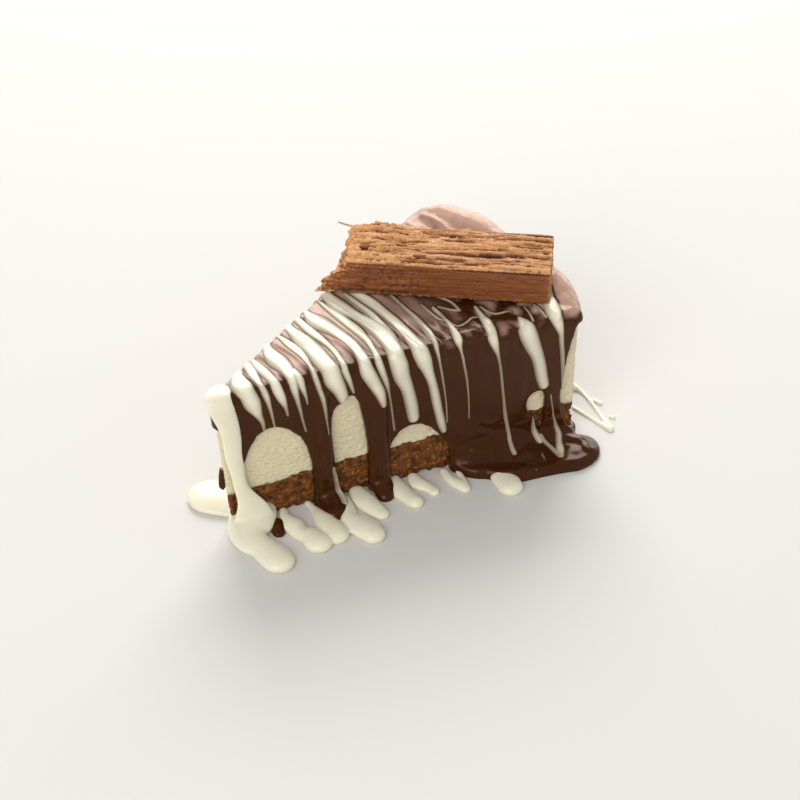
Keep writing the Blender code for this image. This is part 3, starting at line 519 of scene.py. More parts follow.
def loft(shape, rings):
    """Add a closed body through rings of points that match one to one to the mesh."""
    order = shape.verts.layers.int.get("order") or shape.verts.layers.int.new("order")
    first = []
    for index, point in enumerate(rings[0]):
        vertex = shape.verts.new(point * MM)
        vertex[order] = index
        first.append(vertex)
    end = [shape.faces.new(first)]
    inner = []
    for ring in rings[1:]:
        grown = bmesh.ops.extrude_face_region(shape, geom=end)["geom"]
        end = [item for item in grown if isinstance(item, bmesh.types.BMFace)]
        inner += end
        for vertex in (item for item in grown if isinstance(item, bmesh.types.BMVert)):
            vertex.co = ring[vertex[order]] * MM
    bmesh.ops.delete(shape, geom=inner[:-1], context="FACES_ONLY")


def clamp(value):
    """Keep a value between 0 and 1."""
    return min(1.0, max(0.0, value))


def ripple(x, y, z):
    """Return soft noise, between about -1 and 1, at a place."""
    return noise.noise(Vector((x, y, z)))


def smooth_rows(rows, steps):
    """Return rows of numbers on a smooth curve through the given rows."""
    rows = [Vector(row) for row in rows]
    padded = [2.0 * rows[0] - rows[1]] + rows + [2.0 * rows[-1] - rows[-2]]
    result = [rows[0]]
    for start in range(1, len(rows)):
        before, first, last, after = padded[start - 1:start + 3]
        for step in range(1, steps + 1):
            t = step / steps
            slope_in = (last - before) * 0.5
            slope_out = (after - first) * 0.5
            result.append(first * (2.0 * t**3 - 3.0 * t**2 + 1.0) + slope_in * (t**3 - 2.0 * t**2 + t)
                          + last * (3.0 * t**2 - 2.0 * t**3) + slope_out * (t**3 - t**2))
    return result


def smooth_path(path, spacing):
    """Return a path of (centre, up, half width, half height) with a station every spacing."""
    length = sum((path[index + 1][0] - path[index][0]).length for index in range(len(path) - 1))
    steps = max(2, round(length / spacing / (len(path) - 1)))
    parts = [smooth_rows([station[part] if part < 2 else (station[part], 0.0) for station in path], steps)
             for part in range(4)]
    return [(centre, up.normalized(), max(0.15, width[0]), max(0.05, rise[0]))
            for centre, up, width, rise in zip(*parts)]


# Stations of a path's half round end, in degrees from its full width, from the tip inwards
ROUND_ANGLES = (86.0, 68.0, 46.0, 24.0)
ROUND_STEPS = len(ROUND_ANGLES)


def round_end(path, end, beyond):
    """Return the stations that close a path's end in a half round, from the tip inwards."""
    centre, up, half_width, half_height = path[end]
    ahead = (centre - path[beyond][0]).normalized()
    stations = []
    for angle in ROUND_ANGLES:
        share = cos(radians(angle))
        reach = sin(radians(angle)) * half_width
        stations.append((centre + ahead * reach, up, half_width * share, half_height * share))
    return stations


def ribbon_rings(path, sides):
    """Return the rings of an ellipse that follows a path, with round ends."""
    path = round_end(path, 0, 1) + path + round_end(path, -1, -2)[::-1]
    rings = []
    last = len(path) - 1
    angles = [2.0 * pi * side / sides for side in range(sides)]
    for index, (centre, up, half_width, half_height) in enumerate(path):
        ahead = path[min(index + 1, last)][0] - path[max(index - 1, 0)][0]
        across = ahead.cross(up).normalized()
        rings.append([centre + across * (cos(angle) * half_width)
                      + up * (sin(angle) * half_height) for angle in angles])
    return rings


def view_axes():
    """Return the camera's place and its directions to the right, up and back."""
    back = Vector((sin(VIEW_TURN) * cos(VIEW_RISE), -cos(VIEW_TURN) * cos(VIEW_RISE), sin(VIEW_RISE)))
    right = Vector((cos(VIEW_TURN), sin(VIEW_TURN), 0.0))
    return VIEW_TARGET + back * VIEW_DISTANCE, right, back.cross(right), back


def view_ray(across, down):
    """Return the start and direction of the line of sight through a place in the picture."""
    start, right, top, back = view_axes()
    focal = PICTURE * VIEW_LENS / SENSOR
    sideways = (across - 0.5 * PICTURE) / focal
    upwards = (0.5 * PICTURE - down) / focal
    return start, (right * sideways + top * upwards - back).normalized()


def seen_on_floor(across, down, height):
    """Return the point at a height that shows at a place in the picture."""
    start, sight = view_ray(across, down)
    return (start + sight * ((height * MM - start.z) / sight.z)) / MM


def floor_run_rings(rows):
    """Return the rings of a run of chocolate on the floor, sunk a little so that its sides bulge."""
    path = []
    for distance, out, half_width, rise in smooth_rows(rows, 5):
        centre = cut_point(-1, distance, out, 0.0)
        centre.z = SUNK_SHARE * rise
        path.append((centre, UP, half_width, rise - centre.z))
    return ribbon_rings(path, BROAD_SIDES)


def pool_rings(rows):
    """Return the rings of a white pool on the floor from where its two edges are seen."""
    stations = []
    for left, left_down, right, right_down, rise in rows:
        level = SUNK_SHARE * rise
        first = seen_on_floor(left, left_down, level)
        second = seen_on_floor(right, right_down, level)
        stations.append((first, second, rise))
    path = []
    for index, (first, second, rise) in enumerate(stations):
        before = stations[max(0, index - 1)]
        after = stations[min(len(stations) - 1, index + 1)]
        ahead = ((after[0] + after[1]) - (before[0] + before[1])).normalized()
        half_width = 0.5 * (second - first).cross(ahead).length + POOL_SPREAD
        path.append(((first + second) * 0.5, UP, half_width, (1.0 - SUNK_SHARE) * rise))
    return ribbon_rings(smooth_path(path, 1.6), BROAD_SIDES)


def seen_point(trees, across, down):
    """Return the place and normal on the sauce that shows at a place in the picture."""
    start, sight = view_ray(across, down)
    smooth, poured = (tree.ray_cast(start, sight) for tree in trees)
    if smooth[0] is None:
        return poured[0], poured[1]
    if poured[0] is not None and (poured[0] - smooth[0]).dot(sight) < -PROBE * MM:
        return poured[0], poured[1]
    return smooth[0], smooth[1]


def seen_edge(trees, across, down, inwards):
    """Return the first place and normal on the sauce, going inwards from a stripe's seen edge."""
    for step in range(EDGE_STEPS):
        place, normal = seen_point(trees, across + step * inwards, down)
        if place:
            return place, normal
    return None, None


def seen_path(stripe, trees):
    """Return the path of a stripe whose two edges are seen on the sauce."""
    if stripe.start == ON_DRIP:
        trees = (trees[1], trees[1])
    stations = []
    for down, left, right in stripe.rows:
        first, first_normal = seen_edge(trees, left, down, 1.0)
        second, second_normal = seen_edge(trees, right, down, -0.5)
        if first and second:
            stations.append((first / MM, second / MM, (first_normal + second_normal).normalized()))
    path = []
    for index, (first, second, normal) in enumerate(stations):
        before = stations[max(0, index - 1)]
        after = stations[min(len(stations) - 1, index + 1)]
        ahead = ((after[0] + after[1]) - (before[0] + before[1])).normalized()
        half_width = 0.5 * (second - first).cross(ahead).length
        ups = (before[2] + normal + after[2]).normalized()
        path.append(((first + second) * 0.5, ups, half_width))
    return path


def over_far_edge(path, tail):
    """Return the path with a start that hangs over the far edge."""
    normal = cut_frame(1)[1]
    tip = Vector((TIP_X, 0.0, 0.0))
    while (path[0][0] - tip).dot(normal) > CUT_LEAN * COAT_TOP + COAT - 0.5 * COAT_EDGE:
        path = path[1:]
    spread = [(centre, up, grown * half_width) for grown, (centre, up, half_width) in zip(FAR_SPREAD, path)]
    path = spread + path[len(spread):]
    centre, _, half_width = path[0]
    heading = centre - path[1][0]
    heading.z = 0.0
    heading.normalize()
    gap = CUT_LEAN * COAT_TOP + COAT - (centre - tip).dot(normal)
    place = (centre + heading * (gap / max(0.4, heading.dot(normal))) - tip).dot(cut_frame(1)[0])
    edge = 0.3 * COAT_EDGE
    start = [
        (cut_point(1, place + 0.3, COAT, COAT_TOP - tail), normal, 0.4 * half_width),
        (cut_point(1, place, COAT, COAT_TOP - 0.6 * tail), normal, 0.65 * half_width),
        (cut_point(1, place, COAT, COAT_TOP - COAT_EDGE), normal, 0.95 * half_width),
        (cut_point(1, place, COAT - edge, COAT_TOP - edge), (normal + UP).normalized(), half_width),
    ]
    return start + path


def stripe_rise(half_width):
    """Return how high a stripe of a half width stands."""
    return min(STRIPE_RISE, RISE_OF_WIDTH[0] + RISE_OF_WIDTH[1] * half_width)


def stripe_path(stripe, trees, tail):
    """Return the whole path of a drizzle stripe with its changing width and rise."""
    path = seen_path(stripe, trees)
    if stripe.start == OVER_EDGE:
        path = over_far_edge(path, tail)
    elif stripe.start == UNDER_BAR:
        centre, up, half_width = path[0]
        heading = (centre - path[1][0]).normalized()
        heading.z = 0.0
        path = [(centre + heading * UNDER_REACH, UP, 0.7 * half_width)] + path
    return [(centre, up, half_width, stripe_rise(half_width)) for centre, up, half_width in path]


def hidden_path(place, half_width):
    """Return the path of a stripe behind the bar, from the far cut to under the bar."""
    normal = cut_frame(1)[1]
    inner = cut_point(1, place, COAT - COAT_EDGE, COAT_TOP)
    path = [(inner, UP, half_width), (inner - Vector((0.0, UNDER_REACH, 0.0)), UP, 1.1 * half_width)]
    path = over_far_edge(path, FAR_TAILS[0] + 2.0 * half_width)
    return [(centre, up, width, stripe_rise(width)) for centre, up, width in path]


def fold_path(far, near, half_width):
    """Return the path of a long fold of chocolate across the top and over the near edge."""
    normal = cut_frame(-1)[1]
    first = cut_point(1, far, COAT - COAT_EDGE, COAT_TOP)
    last = cut_point(-1, near, COAT - COAT_EDGE, COAT_TOP)
    edge = 0.3 * COAT_EDGE
    path = [(first, UP, half_width), ((first + last) * 0.5 + Vector((1.2, 0.0, 0.0)), UP, half_width),
            (last, UP, half_width),
            (cut_point(-1, near + 0.6, COAT - edge, COAT_TOP - edge), (normal + UP).normalized(), half_width),
            (cut_point(-1, near + 1.4, COAT, 46.0), normal, 0.5 * half_width)]
    return [(centre, up, width, FOLD_RISE) for centre, up, width in path]


def tip_stripe_path():
    """Return the path of the broad stripe that covers the tip and runs into its pool."""
    outward = cut_frame(-1)[1]
    path = [(Vector((x, y, height)), UP.lerp(outward, turned).normalized(), half_width, TIP_STRIPE_RISE)
            for x, y, height, half_width, turned in TIP_CAP]
    path += [(cut_point(-1, distance, out, height), outward, half_width, TIP_STRIPE_RISE)
             for distance, out, height, half_width in TIP_STRIPE]
    return smooth_path(path, 2.0)


def laid_rings(path, tree):
    """Return the rings of a low dome of sauce on the surface under a path, and their half widths."""
    widths = [path[0][2]] * ROUND_STEPS + [station[2] for station in path] + [path[-1][2]] * ROUND_STEPS
    path = round_end(path, 0, 1) + path + round_end(path, -1, -2)[::-1]
    rings = []
    last = len(path) - 1
    for index, (centre, up, half_width, rise) in enumerate(path):
        ahead = path[min(index + 1, last)][0] - path[max(index - 1, 0)][0]
        across = ahead.cross(up).normalized()
        over = []
        under = []
        for step in range(RIBBON_SIDES + 1):
            share = 2.0 * step / RIBBON_SIDES - 1.0
            spot = centre + across * (share * half_width * STRIPE_SPREAD)
            ground = tree.ray_cast((spot + up * PROBE) * MM, -up, 2.0 * PROBE * MM)[0]
            if ground is None:
                ground = tree.find_nearest(spot * MM)[0]
            ground = ground / MM
            over.append(ground + up * (STRIPE_FOOT + rise * (1.0 - share * share) ** 0.7))
            under.append(ground - up * RIBBON_SINK)
        rings.append(over + under[::-1])
    return rings, widths


# Making pieces


def finish_piece(name, shape, material, smooth=True):
    """Turn a mesh in the making into a named piece with its material."""
    bmesh.ops.recalc_face_normals(shape, faces=shape.faces[:])
    mesh = bpy.data.meshes.new(name)
    shape.to_mesh(mesh)
    shape.free()
    piece = bpy.data.objects.new(name, mesh)
    bpy.context.scene.collection.objects.link(piece)
    for face in mesh.polygons:
        face.use_smooth = smooth
    if material:
        mesh.materials.append(material)
    return piece


def coat_with(piece, material):
    """Give the whole piece one material."""
    piece.data.materials.clear()
    piece.data.materials.append(material)


def apply_modifiers(piece):
    """Replace the piece's mesh with what its modifiers make of it."""
    view = bpy.context.evaluated_depsgraph_get()
    view.update()
    result = bpy.data.meshes.new_from_object(piece.evaluated_get(view))
    piece.modifiers.clear()
    piece.data = result


def melt_together(piece, grain, smoothing):
    """Join the piece's crossing bodies into one skin and even it out, as a poured sauce does."""
    skin = piece.modifiers.new("Skin", "REMESH")
    skin.mode = "VOXEL"
    skin.voxel_size = grain * MM
    skin.use_smooth_shade = True
    evening = piece.modifiers.new("Evening", "SMOOTH")
    evening.factor = 0.5
    evening.iterations = smoothing
    apply_modifiers(piece)


def subtract(piece, cutter, solver="MANIFOLD"):
    """Cut another piece out of this one."""
    change = piece.modifiers.new("Cut", "BOOLEAN")
    change.operation = "DIFFERENCE"
    change.object = cutter
    change.solver = solver
    apply_modifiers(piece)
    bpy.data.objects.remove(cutter, do_unlink=True)
    if not piece.data.polygons:
        raise RuntimeError(f"{piece.name} has nothing left of it")


def reshape(piece, move):
    """Move each point of a piece by what a function makes of its place and normal."""
    shape = bmesh.new()
    shape.from_mesh(piece.data)
    shape.normal_update()
    places = [move(vertex.co / MM, vertex.normal.copy()) for vertex in shape.verts]
    for vertex, place in zip(shape.verts, places):
        vertex.co = place * MM
    shape.to_mesh(piece.data)
    shape.free()


def slab_below_floor():
    """Return a slab that trims everything below the floor."""
    reach = 1.2 * RIM_RADIUS
    corners = ((-reach, -reach), (reach, -reach), (reach, reach), (-reach, reach))
    shape = bmesh.new()
    loft(shape, [[Vector((x, y, height)) for x, y in corners] for height in (2.0 * LOWEST, 0.0)])
    return finish_piece("below_floor", shape, None)


def opening_rings(place, rows, depth):
    """Return the rings of a cutter through one side of the coat."""
    rings = []
    for distance, lowest, highest in rows:
        rings.append([place(distance, -depth, lowest), place(distance, depth, lowest),
                      place(distance, depth, highest), place(distance, -depth, highest)])
    return rings


def hem_height(place, hem, tongues):
    """Return the height of the sauce's lower edge, with round tongues hanging below it."""
    height = hem + 1.6 * ripple(place * 0.35, hem, 0.0)
    for centre, tip, half_width in tongues:
        reach = abs(place - centre) / half_width
        if reach < 1.0:
            height = min(height, tip + (hem - tip) * reach**4)
    return height


def hem_rows(start, stop, steps, hem, tongues):
    """Return the rows of a cutter that leaves the hem and its tongues."""
    places = [start + (stop - start) * step / steps for step in range(steps + 1)]
    return [(place, LOWEST, hem_height(place, hem, tongues)) for place in places]


def coat_openings():
    """Return the cutters that open the coat on the near cut, the far cut and the rim."""

    def near(distance, out, height):
        return cut_point(-1, distance, out, height)

    def far(distance, out, height):
        return cut_point(1, distance, out, height)

    def rim(turned, out, height):
        return rim_point(radians(turned), out, height)

    openings = [opening_rings(near, rows, WINDOW_DEPTH) for rows in NEAR_WINDOWS.values()]
    far_rows = hem_rows(*FAR_HEM_SPAN, FAR_HEM, FAR_TONGUES)
    rim_rows = hem_rows(*RIM_HEM_SPAN, RIM_HEM, RIM_TONGUES)
    openings.append(opening_rings(far, far_rows, HEM_DEPTH))
    openings.append(opening_rings(rim, rim_rows, HEM_DEPTH))
    return openings


def puddle_rings():
    """Return the rings of the puddle that spreads from the foot of the near cut."""
    rings = []
    for distance, reach, height in smooth_rows(PUDDLE_SKIRT, 4):
        profile = [(-0.3, -FLOOR_DEPTH), (reach - 0.8, -FLOOR_DEPTH), (reach, 0.3 * SKIRT_RISE),
                   (reach - 0.7, 0.75 * SKIRT_RISE)]
        for step in range(SKIRT_STEPS):
            share = step / (SKIRT_STEPS - 1)
            out = 0.86 * reach + (COAT - 0.1 - 0.86 * reach) * share**0.85
            profile.append((out, SKIRT_RISE + (height - SKIRT_RISE) * share**2.6))
        profile.append((-0.3, height))
        rings.append([cut_point(-1, distance, out, level) for out, level in profile])
    return rings


def sauce_relief(place, normal):
    """Return the place of a point of the chocolate, moved in soft waves that run downhill."""
    swell = ripple(place.x / 11.0, place.y / 11.0, place.z / 14.0)
    along = place.x * cos(HALF_ANGLE) - place.y * sin(HALF_ANGLE)
    if normal.z > 0.6 and place.z > BASE_TOP:
        streak = ripple(place.x / 2.4 + place.y * 0.06, place.y / 16.0, 5.0)
        thread = ripple(place.x / 1.1 + place.y * 0.03, place.y / 9.0, 15.0)
        lift = 0.30 * swell + 0.26 * streak + 0.08 * thread
    elif place.z > BASE_TOP:
        streak = ripple(along / 2.8, place.z / 24.0, 8.0)
        lift = 0.22 * swell + 0.14 * streak
    else:
        fold = ripple(along / 9.0, place.y / 5.0, place.z / 2.2)
        lift = 0.22 * swell + 0.3 * fold
    return place + normal * lift


def lip_sheen(place, reach):
    """Return how much painted reflection of the back light lies on the lip, in the film colour, at a place
    whose reach from the tip is given.
    """
    swirl = ripple(place.x / 6.0, place.y / 3.0, place.z / 2.0)
    turned = degrees(reach.angle(Vector((1.0, 0.0, 0.0)))) * (1.0 if place.y > 0.0 else -1.0)
    height = place.z + 2.5 * swirl
    shares = []
    for middle, span, lowest in LIP_SHEEN_STRETCHES:
        along = max(0.0, 1.0 - abs(turned - middle) / span) ** 0.35
        shares.append(along * min(1.0, max(0.0, height - lowest) / 2.0))
    fade = clamp((reach.length - LIP_SHEEN_RIM) / 8.0 + 0.8 * swirl)
    return max(shares) * (1.25 + 0.3 * swirl) * fade


def top_film_and_sheen(place, normal):
    """Return how much of the film colour lies on the top at a place: partly white smeared thinly, partly
    painted reflection on level chocolate, and painted sheen in patches nearer the bar.
    """
    inwards = -(place - Vector((TIP_X, 0.0, 0.0))).dot(cut_frame(-1)[1])
    width = 2.0 * sin(HALF_ANGLE) * max(4.0, place.x - TIP_X)
    across = clamp((inwards / width - FILM_SHEEN_ACROSS[0]) / FILM_SHEEN_ACROSS[1])
    fade = clamp((FILM_SHEEN_END[0] - place.x) / FILM_SHEEN_END[1])
    streak = ripple(place.x / 1.9 + place.y * 0.05, place.y / 14.0, 21.0)
    # Painted sheen in patches nearer the bar.
    sheen_patch = max(0.0, ripple(place.x / 4.5, place.y / 6.0, 31.0) + 0.02)
    near_cut = max(0.0, 1.0 - 1.6 * inwards / width)
    milky_and_sheen = max(2.0 * sheen_patch * (1.0 - fade) * near_cut, across * fade * (1.0 + 0.8 * streak))
    return min(1.1, max(0.0, milky_and_sheen)) * min(1.0, (normal.z - FILM_SHEEN_LEVEL) / FILM_SHEEN_LEVEL)


def milky_film_and_sheen(place, normal):
    """Return how much of the film colour lies on the chocolate at a place: painted reflection on the lip, and
    on the top partly white smeared thinly and partly painted sheen.
    """
    if place.z < BASE_TOP:
        return 0.0
    reach = place - Vector((TIP_X, 0.0, place.z))
    if reach.length > LIP_SHEEN_RIM:
        return lip_sheen(place, reach)
    return 0.0 if normal.z < FILM_SHEEN_LEVEL else top_film_and_sheen(place, normal)


def smooth_tree():
    """Return a search tree of the smooth unbroken coat."""
    shape = bmesh.new()
    loft(shape, coat_outlines())
    bmesh.ops.recalc_face_normals(shape, faces=shape.faces[:])
    smooth = BVHTree.FromBMesh(shape)
    shape.free()
    return smooth


def coat_outlines():
    """Return the outlines of the unbroken coat at its levels."""
    levels = [(-FLOOR_DEPTH, COAT)] + [(COAT_TOP - below, out) for below, out in COAT_ROUNDING]
    return [slice_outline(out, COAT_CORNER, height) for height, out in levels]


def add_sauce_bodies(shape):
    """Add the runs on the floor, the lip, the puddle, the drips and the long folds to a mesh."""
    for rows in CHOCOLATE_RUNS:
        loft(shape, floor_run_rings(rows))
    for rows in (RIM_LIP, RIM_FOLD):
        lip = [(rim_point(radians(turned), -inset, middle), UP, half_width, half_height)
               for turned, inset, middle, half_width, half_height in rows]
        loft(shape, ribbon_rings(smooth_path(lip, 2.0), BROAD_SIDES))
    loft(shape, puddle_rings())
    outward = cut_frame(-1)[1]
    for rows in NEAR_DRIPS:
        drip = [(cut_point(-1, distance, COAT - DRIP_SUNK, height), outward, half_width, DRIP_RISE)
                for distance, height, half_width in rows]
        loft(shape, ribbon_rings(smooth_path(drip, 1.5), DRIP_SIDES))
    drop = [(cut_point(1, distance, out, height), cut_frame(1)[1], half_width, TIP_DROP_RISE)
            for distance, out, height, half_width in TIP_DROP]
    loft(shape, ribbon_rings(smooth_path(drop, 1.0), DROP_SIDES))
    for fold in CHOCOLATE_FOLDS:
        loft(shape, ribbon_rings(smooth_path(fold_path(*fold), 1.5), FOLD_SIDES))


def add_small_folds(shape):
    """Add the small folds that the camera sees to a mesh of the coat and its bodies."""
    trees = (smooth_tree(), BVHTree.FromBMesh(shape))
    for rows in SMALL_FOLDS:
        fold = []
        for across, down, half_width in rows:
            place, normal = seen_point(trees, across, down)
            fold.append((place / MM, normal, half_width, SMALL_FOLD_RISE + SMALL_FOLD_RISE * half_width))
        loft(shape, ribbon_rings(smooth_path(fold, 1.0), FOLD_SIDES))


def core_piece():
    """Return the room that the filling and the base take up inside the coat."""
    shape = bmesh.new()
    levels = ((-FLOOR_DEPTH, 0.02), (FILLING_TOP - FILLING_EDGE, 0.02), (FILLING_TOP, -FILLING_EDGE_INSET))
    loft(shape, [slice_outline(out, SLICE_CORNER, height) for height, out in levels])
    return finish_piece("core_room", shape, None)


def make_coat(sauce, material):
    """Make the poured chocolate: the coat with its windows, drips, folds, lip and puddle."""
    shape = bmesh.new()
    loft(shape, coat_outlines())
    coat = finish_piece("poured_chocolate", shape, None)
    for rings in coat_openings():
        cutter = bmesh.new()
        loft(cutter, rings)
        subtract(coat, finish_piece("opening", cutter, None), "EXACT")
    shape = bmesh.new()
    shape.from_mesh(coat.data)
    add_sauce_bodies(shape)
    add_small_folds(shape)
    bmesh.ops.recalc_face_normals(shape, faces=shape.faces[:])
    shape.to_mesh(coat.data)
    shape.free()
    melt_together(coat, sauce.grain, sauce.smoothing)
    reshape(coat, sauce_relief)
    subtract(coat, core_piece())
    subtract(coat, slab_below_floor())
    # This attribute carries white smeared thinly on the top, and painted reflection and sheen on the lip and
    # the top.
    film = coat.data.attributes.new("film", "FLOAT", "POINT")
    for vertex, normal in zip(coat.data.vertices, coat.data.vertex_normals):
        film.data[vertex.index].value = milky_film_and_sheen(vertex.co / MM, normal.vector)
    coat_with(coat, material)
    return coat


def dense_rings(levels, corner, spacing):
    """Return matching outline rings of (height, outward offset) levels with points every spacing."""
    middle = slice_outline(0.0, corner, 0.5 * FILLING_TOP)
    counts = [max(1, round((middle[(index + 1) % len(middle)] - point).length / spacing))
              for index, point in enumerate(middle)]
    rings = []
    for height, out in levels:
        outline = slice_outline(out, corner, height)
        ring = []
        for index, count in enumerate(counts):
            following = outline[(index + 1) % len(outline)]
            ring += [outline[index].lerp(following, step / count) for step in range(count)]
        rings.append(ring)
    return rings


def along_near_cut(place):
    """Return how far a point lies along the near cut from the tip."""
    return (place.x - TIP_X) * cos(HALF_ANGLE) - place.y * sin(HALF_ANGLE)


def boundary_height(place):
    """Return the height of the uneven line where the filling meets the biscuit base."""
    distance = along_near_cut(place)
    slope = clamp(distance / 42.0)
    wave = ripple(place.x / 7.0, place.y / 7.0, 2.0)
    crumbs = ripple(place.x / 1.7, place.y / 1.7, 6.0)
    return 12.6 + 2.6 * slope + 0.9 * wave + 0.55 * crumbs


def capped(rings, height_low, height_high):
    """Return rings with a shrunken flat ring at each end, so that the caps lie flat inside."""
    centre = sum(rings[0], Vector((0.0, 0.0, 0.0))) / len(rings[0])
    caps = []
    for ring, height in ((rings[0], height_low), (rings[-1], height_high)):
        cap = [centre + (point - centre) * 0.9 for point in ring]
        for point in cap:
            point.z = height
        caps.append(cap)
    return [caps[0]] + rings + [caps[1]]


def make_base(cake, material):
    """Make the base of pressed biscuit crumbs."""
    rings = dense_rings([(BASE_TOP * step / 34, 0.0) for step in range(35)], SLICE_CORNER, 0.42)
    for index, ring in enumerate(rings):
        for point in ring:
            point.z = boundary_height(point) * index / 34.0
    shape = bmesh.new()
    loft(shape, capped(rings, 0.4, BASE_TOP - 1.0))
    base = finish_piece("crumb_base", shape, material)
    size = cake.crumb_size
    depth = cake.crumb_depth

    def move(place, normal):
        if abs(normal.z) > 0.8:
            return place
        cells = noise.voronoi(place / size)[0]
        crumb = 0.55 - cells[0]
        grit = noise.noise(place / 0.7)
        hollow = min(0.0, noise.noise(place / 4.0 + Vector((3.0, 0.0, 0.0))) + 0.22)
        foot = max(0.0, 1.0 - place.z / 2.6)
        ragged = foot * (0.6 + 1.1 * ripple(place.x / 2.2, place.y / 2.2, 4.0))
        lift = depth * (0.8 * crumb + 0.45 * grit) + 3.2 * hollow - max(0.0, ragged) - 0.25
        outward = Vector((normal.x, normal.y, 0.0)).normalized()
        return place + outward * min(0.3, max(-2.4, lift))

    reshape(base, move)
    return base


def make_filling(material):
    """Make the whipped cream filling with its pitted cut faces."""
    steps = 58
    rise = FILLING_TOP - FILLING_EDGE - BASE_TOP
    levels = [(BASE_TOP + rise * step / steps, 0.0) for step in range(steps + 1)]
    levels.append((FILLING_TOP, -FILLING_EDGE_INSET))
    rings = dense_rings(levels, SLICE_CORNER, 0.6)
    top = FILLING_TOP - FILLING_EDGE
    for index, ring in enumerate(rings[:-1]):
        for point in ring:
            low = boundary_height(point) - 0.1
            point.z = low + (top - low) * index / steps
    shape = bmesh.new()
    loft(shape, capped(rings, BASE_TOP + 1.0, FILLING_TOP - 0.1))
    filling = finish_piece("whipped_filling", shape, material)

    def move(place, normal):
        if abs(normal.z) > 0.8:
            return place
        wave = ripple(place.x / 9.0, place.y / 9.0, place.z / 6.0)
        grain = ripple(place.x / 1.5, place.y / 1.5, place.z / 0.75)
        level = ripple(place.x / 5.0, place.y / 5.0, place.z / 0.9 + 30.0)
        side = 0.6 if normal.y > 0.3 or normal.x > 0.5 else 0.42
        return place + normal * (0.15 * wave - 0.2 + side * min(0.0, grain + 0.1) + 0.14 * level)

    reshape(filling, move)
    return filling


def drizzle_paths(trees):
    """Return the paths of all the drizzle: stripes, stripes behind the bar and thin threads, some of which
    are painted highlights.
    """
    paths = []
    for index, stripe in enumerate(STRIPES):
        paths.append(stripe_path(stripe, trees, FAR_TAILS[index % len(FAR_TAILS)]))
    paths += [hidden_path(place, half_width) for place, half_width in HIDDEN_STRIPES]
    for rows in THREADS_AND_HIGHLIGHTS:
        path = []
        for across, down, half_width in rows:
            place, normal = seen_point(trees, across, down)
            path.append((place / MM, normal, half_width, THREAD_RISE))
        paths.append(path)
    return paths


def clear_beside(coat, edges):
    """Take the film colour and its painted sheen off the top beside the edges of the stripes, leaving a line
    of bare chocolate.
    """
    tree = KDTree(len(edges))
    for index, edge in enumerate(edges):
        tree.insert(edge, index)
    tree.balance()
    film = coat.data.attributes["film"].data
    for vertex in coat.data.vertices:
        if film[vertex.index].value > 0.0:
            distance = tree.find(vertex.co / MM)[2]
            film[vertex.index].value *= min(1.0, max(0.0, distance - BARE_LINE[0]) / BARE_LINE[1])


def make_drizzle(coat, material):
    """Lay the white drizzle on the poured chocolate."""
    poured = BVHTree.FromObject(coat, bpy.context.evaluated_depsgraph_get())
    shape = bmesh.new()
    half_widths = []
    edges = []
    for path in drizzle_paths((smooth_tree(), poured)):
        rings, widths = laid_rings(smooth_path(path, STATION), poured)
        half_widths += widths
        for ring, following in zip(rings, rings[1:]):
            if ring[0].z > COAT_TOP - 2.0:
                edges += [ring[0].lerp(following[0], share) for share in BARE_SHARES]
        loft(shape, rings)
    clear_beside(coat, edges)
    thin = shape.verts.layers.float.new("thin")
    order = shape.verts.layers.int["order"]
    for number, vertex in enumerate(shape.verts):
        share = 2.0 * (vertex[order] % (RIBBON_SIDES + 1)) / RIBBON_SIDES - 1.0
        narrow = 1.0 - min(1.0, half_widths[number // (2 * RIBBON_SIDES + 2)] / FULL_WIDTH)
        sideways = 0.3 * min(1.0, max(0.0, (COAT_TOP - 1.0) * MM - vertex.co.z) / (14.0 * MM))
        vertex[thin] = min(1.0, abs(share) ** 2.4 + 0.9 * narrow + sideways)
    return finish_piece("white_drizzle", shape, material)


def poured_piece(name, bodies, grain, smoothing, material):
    """Make a piece of sauce on the floor from the rings of bodies that run into each other."""
    shape = bmesh.new()
    for rings in bodies:
        loft(shape, rings)
    piece = finish_piece(name, shape, None)
    melt_together(piece, grain, smoothing)
    subtract(piece, slab_below_floor())
    coat_with(piece, material)
    return piece


def make_pour(sauce, material):
    """Make the broad white stripe at the tip and the white pools that touch the chocolate."""
    bodies = [ribbon_rings(tip_stripe_path(), BROAD_SIDES)] + [pool_rings(rows) for rows in WHITE_POOLS]
    return poured_piece("white_pour", bodies, POUR_GRAIN, sauce.smoothing, material)


def make_pool(name, strokes, sauce, material):
    """Make one white pool that lies clear of the chocolate."""
    bodies = [pool_rings(rows) for rows in strokes]
    return poured_piece(f"{name}_drop", bodies, POOL_GRAIN, sauce.smoothing, material)


def make_splash(material):
    """Make the splash behind the rim."""
    bodies = [pool_rings(rows) for rows in SPLASH_DROPS]
    for rows in SPLASH_STROKES:
        path = [(Vector((x, y, SUNK_SHARE * rise)), UP, half_width, (1.0 - SUNK_SHARE) * rise)
                for x, y, half_width, rise in smooth_rows(rows, 6)]
        bodies.append(ribbon_rings(path, DROP_SIDES))
    return poured_piece("white_splash_strokes", bodies, SPLASH_GRAIN, SPLASH_SMOOTHING, material)


# The bar


def scatter_flakes(random, count, across, lengths, widths, heights):
    """Return flakes strewn over a face of the bar."""
    flakes = []
    for _ in range(count):
        place = random.uniform(-0.52, 0.52) * BAR_LENGTH
        middle = random.uniform(-0.56, 0.5) * across
        flakes.append(Flake(place, middle, random.uniform(*lengths), random.uniform(*widths),
                            random.uniform(*heights), random.uniform(-0.12, 0.12), random.uniform(0.0, 90.0)))
    return flakes


